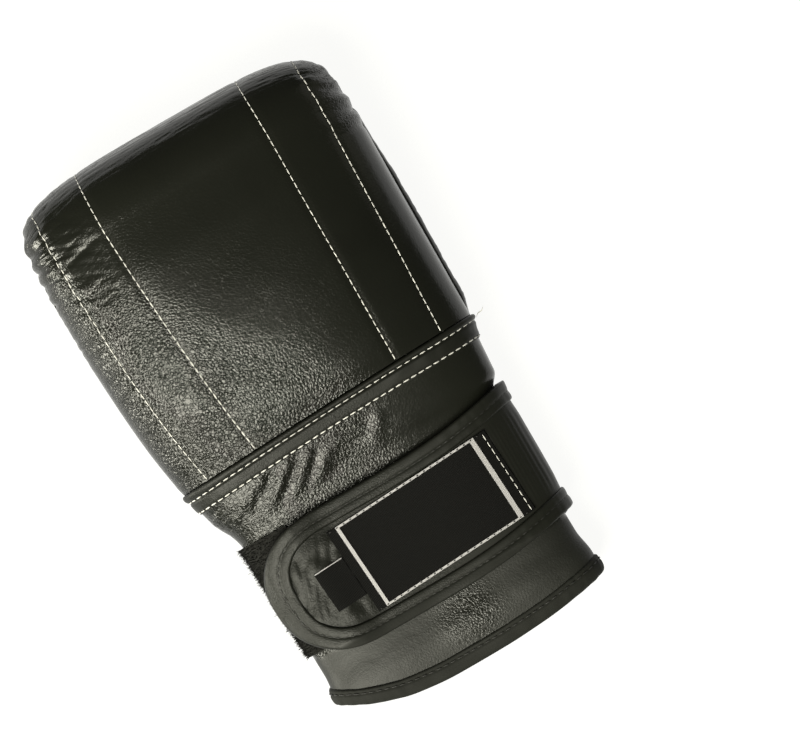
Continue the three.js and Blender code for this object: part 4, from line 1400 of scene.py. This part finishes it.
def strap_angles(count):
    return steps(count, STRAP_FROM, strap_reach(ROUND_FROM)) + [
        strap_reach(ROUND_FROM + share * STRAP_ROUND)
        for share in [1 - (1 - t) ** 2 for t in steps(max(8, count // 4))][1:]
    ]


def border_profile(share):
    """Height of the strap's border from its outer edge to its inner one: two rolls and a sewn groove."""
    t = share / BORDER_ROW if share < BORDER_ROW else (share - BORDER_ROW) / INNER_ROLL
    roll = max(1 - abs(2 * t - 1) ** 2.4, 0.0) ** (1 / 2.4)
    return BORDER_SWELL * (0.25 + 0.75 * roll) * (1 if share < BORDER_ROW else 0.8)


# Places and sizes of the strap's crumpled and ribbed parts, and the pitch of the ribs
CRUMPLED_TO = -19
RIBBED_FROM = 51
RIB_PITCH = 1.5
# Share of a turn between one fibre of the loop pile and the next
FIBRE_TURN = 0.6180339887
FIBRE_RADIUS = 0.16
FIBRE_SEED = 7


class MakeStrap(bpy.types.Operator):
    """Makes the padded wrist strap with its sewn border, and the fuzzy patch that it closes on."""

    bl_idname = "bag_glove.make_strap"
    bl_label = "Wrist strap"

    def execute(self, context):
        def band(angle, share, top):
            half = strap_half(angle)
            point = strap_point(angle, share * half, 0)
            if not top:
                return point
            x = point[0]
            inside = ease((1 - abs(share)) * half / STRAP_BORDER - 0.9)
            lift = 0.5 * inside * (angle < math.pi)
            if math.sin(angle) > 0:
                crumple = ease((CRUMPLED_TO - x) / 4)
                lift += inside * crumple * 0.9 * noise.noise(Vector((x / 7, point[1] / 9, 61)))
                lift -= inside * crumple * creases(STRAP_CREASES, x, point[1])
                ribs = ease((x - RIBBED_FROM) / 2)
                lift += inside * ribs * 0.08 * math.sin(x * 2 * math.pi / RIB_PITCH)
                lift -= 0.5 * inside * ease((x + 24) / 4) * (1 - ribs)
            else:
                lift -= inside * creases(INNER_STRAP_CREASES, x, point[1])
            return strap_point(angle, share * half, STRAP_THICK + lift)

        bm = plate(strap_angles(230), steps(56, -1, 1), band)
        made = piece(bm, "strap", "strap_leather", "wrist_strap", 60)

        angles = strap_angles(300)
        stations = [(angle, 1) for angle in angles] + [(angle, -1) for angle in reversed(angles[:-1])]

        def border(i, share, top):
            angle, side = stations[i]
            narrow = share * STRAP_BORDER
            angle = min(angle, strap_reach(STRAP_END - narrow))
            lift = border_profile(share) if top else -0.1
            lift += 0.12 * noise.noise(Vector((angle * 12, side * 3 + share, 67))) if top else 0
            return strap_point(angle, side * strap_half(angle, narrow), STRAP_THICK + TRIM_SEAT + lift)

        bm = plate(list(range(len(stations))), steps(20), border)
        piece(bm, "strap_edging", "strap_leather", "strap_border", 70)

        base = PILE_RISE - STRAP_PLACE

        def patch(angle, across, top):
            return tube_point(base + across, angle, FIT + (PILE_THICK * 0.7 if top else 0))

        bm = plate(steps(60, PATCH_FROM, PATCH_TO), steps(44, -PILE_WIDTH / 2, PILE_WIDTH / 2), patch)
        count = sizes().fibres // 1
        heap = Heap(bm)
        # Without a seed the noise vectors differ from run to run.
        noise.seed_set(FIBRE_SEED)
        for i in range(count):
            a = mix(PATCH_FROM, PATCH_TO, (i * FIBRE_TURN) % 1)
            across = mix(-PILE_WIDTH / 2, PILE_WIDTH / 2, (i + 0.5) / count)
            root = Vector(tube_point(base + across, a, FIT + PILE_THICK * 0.6))
            out = Vector(tube_point(base + across, a, FIT + PILE_THICK * 1.6)) - root
            wild = noise.noise_vector(Vector((i * 0.37, i * 0.11, 5)))
            tip = root + out.normalized() * sizes().fibre / MM * (0.55 + 0.45 * abs(wild.x)) + wild * 1.6
            if tip.z >= 0.1:
                add_fibre(heap.next(), root, tip)
        piece(heap.gather(), "loop_pile", "loop_pile", "loop_patch")
        return {"FINISHED"}


def add_fibre(bm, root, tip):
    """A hair-thin spike, three-sided."""
    along = tip - root
    turn = along.to_track_quat("Z", "Y").to_matrix().to_4x4()
    where = Matrix.Translation(placed((root + tip) / 2)) @ turn
    bmesh.ops.create_cone(
        bm,
        cap_ends=True,
        segments=3,
        radius1=FIBRE_RADIUS * MM,
        radius2=FIBRE_RADIUS * 0.3 * MM,
        depth=along.length * MM,
        matrix=where,
    )


def rectangle(left, right, low, high):
    return [(left, low), (right, low), (right, high), (left, high)]


# The label's frame: its outer edges from the label's middle, and its width at each of them
FRAME_EDGES = (-34.0, 32.8, -19.4, 19.4)
FRAME_WIDTHS = (1.5, -2.0, 0.9, -0.9)
FRAME_OUTER = rectangle(*FRAME_EDGES)
FRAME_INNER = rectangle(*[edge + wide for edge, wide in zip(FRAME_EDGES, FRAME_WIDTHS)])
FRAME_PROUD = 0.22
FRAME_SUNK = -0.2
# A white thread runs along the label's edge by the thumb, this far from its middle
EDGE_THREAD = 36.6


def woven_plate(middle, down, columns, rows, low, high):
    """A flat woven shape over the strap, from a low to a high face in millimetres."""

    def surface(x, across, top):
        return woven_point(middle, down, x, across, high if top else low)

    return plate(columns, rows, surface)


class MakeLabels(bpy.types.Operator):
    """Makes the woven label with its off-white frame, left bare inside, and the small tag beside it."""

    bl_idname = "bag_glove.make_labels"
    bl_label = "Label and tag"

    def execute(self, context):
        columns = steps(80, -LABEL_LENGTH / 2, LABEL_LENGTH / 2)
        rows = steps(50, -LABEL_WIDTH / 2, LABEL_WIDTH / 2)
        bm = woven_plate(LABEL_PLACE, LABEL_DOWN, columns, rows, 0, WOVEN_THICK)
        piece(bm, "woven_label", "woven_label", "label")

        def frame_line(t, share, top):
            i = int(t) % 4
            ends = [
                [mix(line[i][k], line[(i + 1) % 4][k], t - int(t)) for k in (0, 1)]
                for line in (FRAME_OUTER, FRAME_INNER)
            ]
            x, across = (mix(ends[0][k], ends[1][k], share) for k in (0, 1))
            lift = WOVEN_THICK + (FRAME_PROUD if top else FRAME_SUNK)
            return woven_point(LABEL_PLACE, LABEL_DOWN, x, across, lift)

        bm = plate(steps(160, 0, 4), steps(2), frame_line, ring=True)
        piece(bm, "label_frame", "woven_frame")

        columns = steps(18, -TAG_LENGTH / 2, TAG_LENGTH / 2)
        rows = steps(24, -TAG_WIDTH / 2, TAG_WIDTH / 2)
        bm = woven_plate(-TAG_PLACE, TAG_DOWN, columns, rows, 0, WOVEN_THICK)
        piece(bm, "small_tag", "woven_label", "size_tag")
        columns = steps(18, -TAG_LENGTH / 2 + 0.3, TAG_LENGTH / 2 - 0.3)
        rows = steps(2, TAG_WIDTH / 2 - 0.5, TAG_WIDTH / 2 - 0.1)
        bm = woven_plate(-TAG_PLACE, TAG_DOWN, columns, rows, WOVEN_THICK - 0.2, WOVEN_THICK + 0.2)
        piece(bm, "tag_edge", "woven_frame")
        return {"FINISHED"}


def pad_line(column=None, arc=None):
    """Places along one of the pad's stitched lines, by share of its length and a little to the side."""

    def up_the_back(t, side):
        last = 1 + channel_arc(column)["ends"] * ROLL_ARC / curl_length(column)
        return pad_point(column + side / PAD_HALF, mix(0.004, last, t), True)

    def over_the_tip(t, side):
        place = mix(-arc["reach"], arc["reach"], t)
        turn = arc_turn(arc, place) + side / ROLL_ARC
        return pad_point(place, 1 + turn * ROLL_ARC / curl_length(place), True)

    return over_the_tip if arc else up_the_back


# Stitches: length, gap, width and height in millimetres, and the share of the height that is sunk
STRAP_STITCH = (2.5, 0.7, 0.6, 0.55, 0.1)
LABEL_STITCH = (0.9, 2.3, 0.55, 0.35, 0.3)
EDGE_STITCH = (2.8, 0.5, 0.42, 0.35, 0.2)
WRIST_STITCH = (2.6, 0.7, 0.6, 0.5, 0.2)
THUMB_STITCH = (2.2, 0.8, 0.6, 0.5, 0.1)
PAD_GAP = 0.3
BAND_GAP = 0.75
WHITE_SINK = 0.35
LABEL_INSET = 0.6
# Points inside the glove, which tell the outer side of a surface from its inner one
INSIDE_PAD = (0, 60, 28)
INSIDE_BAND = (0, -8, 25)
INSIDE_STRAP = (0, -65, 20)
INSIDE_LABEL = (15, -65, 20)
INSIDE_LABEL_END = (50, -64, 20)
INSIDE_WRIST = (0, -118, 19)


class MakeStitches(bpy.types.Operator):
    """Sews the white contrast stitches and the black ones."""

    bl_idname = "bag_glove.make_stitches"
    bl_label = "Stitches"

    def execute(self, context):
        stitch = sizes().stitch / MM
        wide = sizes().thread / MM
        pad_stitch = (stitch, PAD_GAP, wide * 0.85, wide * 0.8, WHITE_SINK)
        heap = Heap()
        for line in CHANNELS:
            sew(heap, pad_line(line), 260, INSIDE_PAD, pad_stitch)
        for arc in CHANNEL_ARCS:
            sew(heap, pad_line(arc=arc), 200, INSIDE_PAD, pad_stitch)
        piece(heap.gather(), "white_pad_stitches", "white_thread")

        heap = Heap()
        for name in ("upper", "lower"):

            def band_line(t, side, name=name):
                angle = mix(0.03, math.pi - 0.03, t)
                x = tube_point(0, angle, 0)[0]
                down = BAND_LINES.at(x, name)
                return tube_point(seam_y(x) - FIT - down + side, angle, TRIM_SEAT + band_height(x, down))

            sew(heap, band_line, 220, INSIDE_BAND, (stitch, BAND_GAP, wide, wide * 0.8, WHITE_SINK))

        def label_thread(t, off):
            across = mix(-LABEL_WIDTH / 2 + LABEL_INSET, LABEL_WIDTH / 2 - LABEL_INSET, t)
            return woven_point(LABEL_PLACE, LABEL_DOWN, EDGE_THREAD + off, across, WOVEN_THICK)

        sew(heap, label_thread, 60, INSIDE_LABEL_END, EDGE_STITCH)
        end = Vector(tube_point(-0.6, 0.03, 1.6))
        loose = [end + Vector(off) for off in ((0, 0, 0), (1.5, 1.2, 0.6), (3.6, 1.6, 0.9), (5.2, 3.0, 0.2))]
        thread(heap.whole, smooth_line(loose, 18), wide * 0.4, 6)
        piece(heap.gather(), "white_band_stitches", "white_thread")

        heap = Heap()

        def border_line(t, off):
            side = 1 if t < 0.5 else -1
            narrow = BORDER_ROW * STRAP_BORDER
            angle = mix(STRAP_FROM, strap_reach(STRAP_END - narrow), 1 - abs(2 * t - 1))
            across = side * (strap_half(angle, narrow) + off)
            return strap_point(angle, across, STRAP_THICK + TRIM_SEAT + 0.3)

        sew(heap, border_line, 1200, INSIDE_STRAP, STRAP_STITCH)
        for across in (-1, 1):
            edge = across * (LABEL_WIDTH / 2 - LABEL_INSET)

            def label_line(t, off, edge=edge):
                along = mix(-LABEL_LENGTH / 2 + 1, LABEL_LENGTH / 2 - 1, t)
                return woven_point(LABEL_PLACE, LABEL_DOWN, along, edge + off, WOVEN_THICK + 0.25)

            sew(heap, label_line, 80, INSIDE_LABEL, LABEL_STITCH)
        piece(heap.gather(), "black_strap_stitches", "black_thread")

        heap = Heap()
        first, last = roll_ends()

        def roll_line(t, side):
            angle = mix(first, last, t)
            y = wrist_y(angle) + BINDING_WIDTH * BINDING_ROW + side + roll_waver(angle)
            return tube_point(y, angle, BINDING_SWELL - 0.35)

        sew(heap, roll_line, 500, INSIDE_WRIST, WRIST_STITCH)
        piece(heap.gather(), "black_wrist_stitches", "black_thread")

        heap = Heap()
        beside = [Vector(stall_place(r["across"] - 0.02, r["along"] - 0.02)) for r in WELT_ROUTE]
        route = smooth_line(beside, 150)
        row = [(Vector((p.x, p.y, palm_z(p.x, p.y) - 0.1)), Vector((0, 0, -1))) for p in route]
        stitch_row(heap, row, *THUMB_STITCH)
        piece(heap.gather(), "black_thumb_stitches", "black_thread")
        return {"FINISHED"}


CAMERA_TURN = -30.0
CAMERA_AIM = (37.4, -6.9, 35.0)
CAMERA_AWAY = 1.6
VIEW_WIDTH = 0.332
SENSOR = 36.0
FLOOR_SIZE = 6
LAMP_COLOUR = (1.0, 0.98, 0.84)
WORLD_COLOUR = (1, 1, 0.86, 1)
WORLD_STRENGTH = 0.08


class MakeStage(bpy.types.Operator):
    """Makes the pale floor, the soft lights and the camera."""

    bl_idname = "bag_glove.make_stage"
    bl_label = "Stage"

    def execute(self, context):
        bm = bmesh.new()
        bmesh.ops.create_grid(bm, x_segments=1, y_segments=1, size=FLOOR_SIZE)
        floor = linked("floor", mesh_of(bm, "floor"))
        floor.data.materials.append(finish_named("floor"))

        aim = Vector(CAMERA_AIM) * MM
        for name, direction, away, size, power in (
            ("window", (-0.47, -0.353, 0.809), 1.6, 0.95, 50),
            ("low_window", (-0.98, 0.06, 0.19), 1.6, 0.5, 24),
            ("far_fill", (0.9, 0.3, 0.3), 1.9, 1.2, 1.5),
        ):
            lamp = bpy.data.lights.new(name, "AREA")
            lamp.shape = "SQUARE"
            lamp.size = size
            lamp.energy = power
            lamp.color = LAMP_COLOUR
            made = linked(name, lamp)
            made.location = aim + Vector(direction).normalized() * away
            made.rotation_euler = (-Vector(direction)).to_track_quat("-Z", "Y").to_euler()

        world = bpy.data.worlds.new("studio")
        world.use_nodes = True
        background = world.node_tree.nodes["Background"]
        background.inputs["Color"].default_value = WORLD_COLOUR
        background.inputs["Strength"].default_value = WORLD_STRENGTH
        context.scene.world = world

        lens = bpy.data.cameras.new("camera")
        lens.sensor_width = SENSOR
        lens.lens = SENSOR * CAMERA_AWAY / VIEW_WIDTH
        lens.clip_end = 20
        camera = linked("camera", lens)
        camera.location = aim + Vector((0, 0, CAMERA_AWAY))
        camera.rotation_euler = (0, 0, math.radians(CAMERA_TURN))
        context.scene.camera = camera
        context.scene.view_settings.view_transform = "Standard"
        return {"FINISHED"}


OPERATORS = (MakePad, MakePalm, MakeThumb, MakeCuff, MakeStrap, MakeLabels, MakeStitches, MakeStage)


class BagGlovePanel(bpy.types.Panel):
    """Lists the glove's pieces and settings."""

    bl_idname = "VIEW3D_PT_bag_glove"
    bl_label = "Bag glove"
    bl_space_type = "VIEW_3D"
    bl_region_type = "UI"
    bl_category = "Bag glove"

    def draw(self, context):
        for group in (context.scene.bag_glove_sizes, context.scene.bag_glove_colours):
            for key in group.bl_rna.properties.keys():
                if key not in ("rna_type", "name"):
                    self.layout.prop(group, key)
        for operator in OPERATORS:
            self.layout.operator(operator.bl_idname)


CLASSES = (BagGloveSizes, BagGloveColours, *OPERATORS, BagGlovePanel)


def register():
    for each in CLASSES:
        bpy.utils.register_class(each)
    bpy.types.Scene.bag_glove_sizes = bpy.props.PointerProperty(type=BagGloveSizes)
    bpy.types.Scene.bag_glove_colours = bpy.props.PointerProperty(type=BagGloveColours)


def unregister():
    del bpy.types.Scene.bag_glove_colours
    del bpy.types.Scene.bag_glove_sizes
    for each in reversed(CLASSES):
        bpy.utils.unregister_class(each)


def main():
    register()
    for operator in OPERATORS:
        group, name = operator.bl_idname.split(".")
        getattr(getattr(bpy.ops, group), name)()


if __name__ == "__main__":
    main()
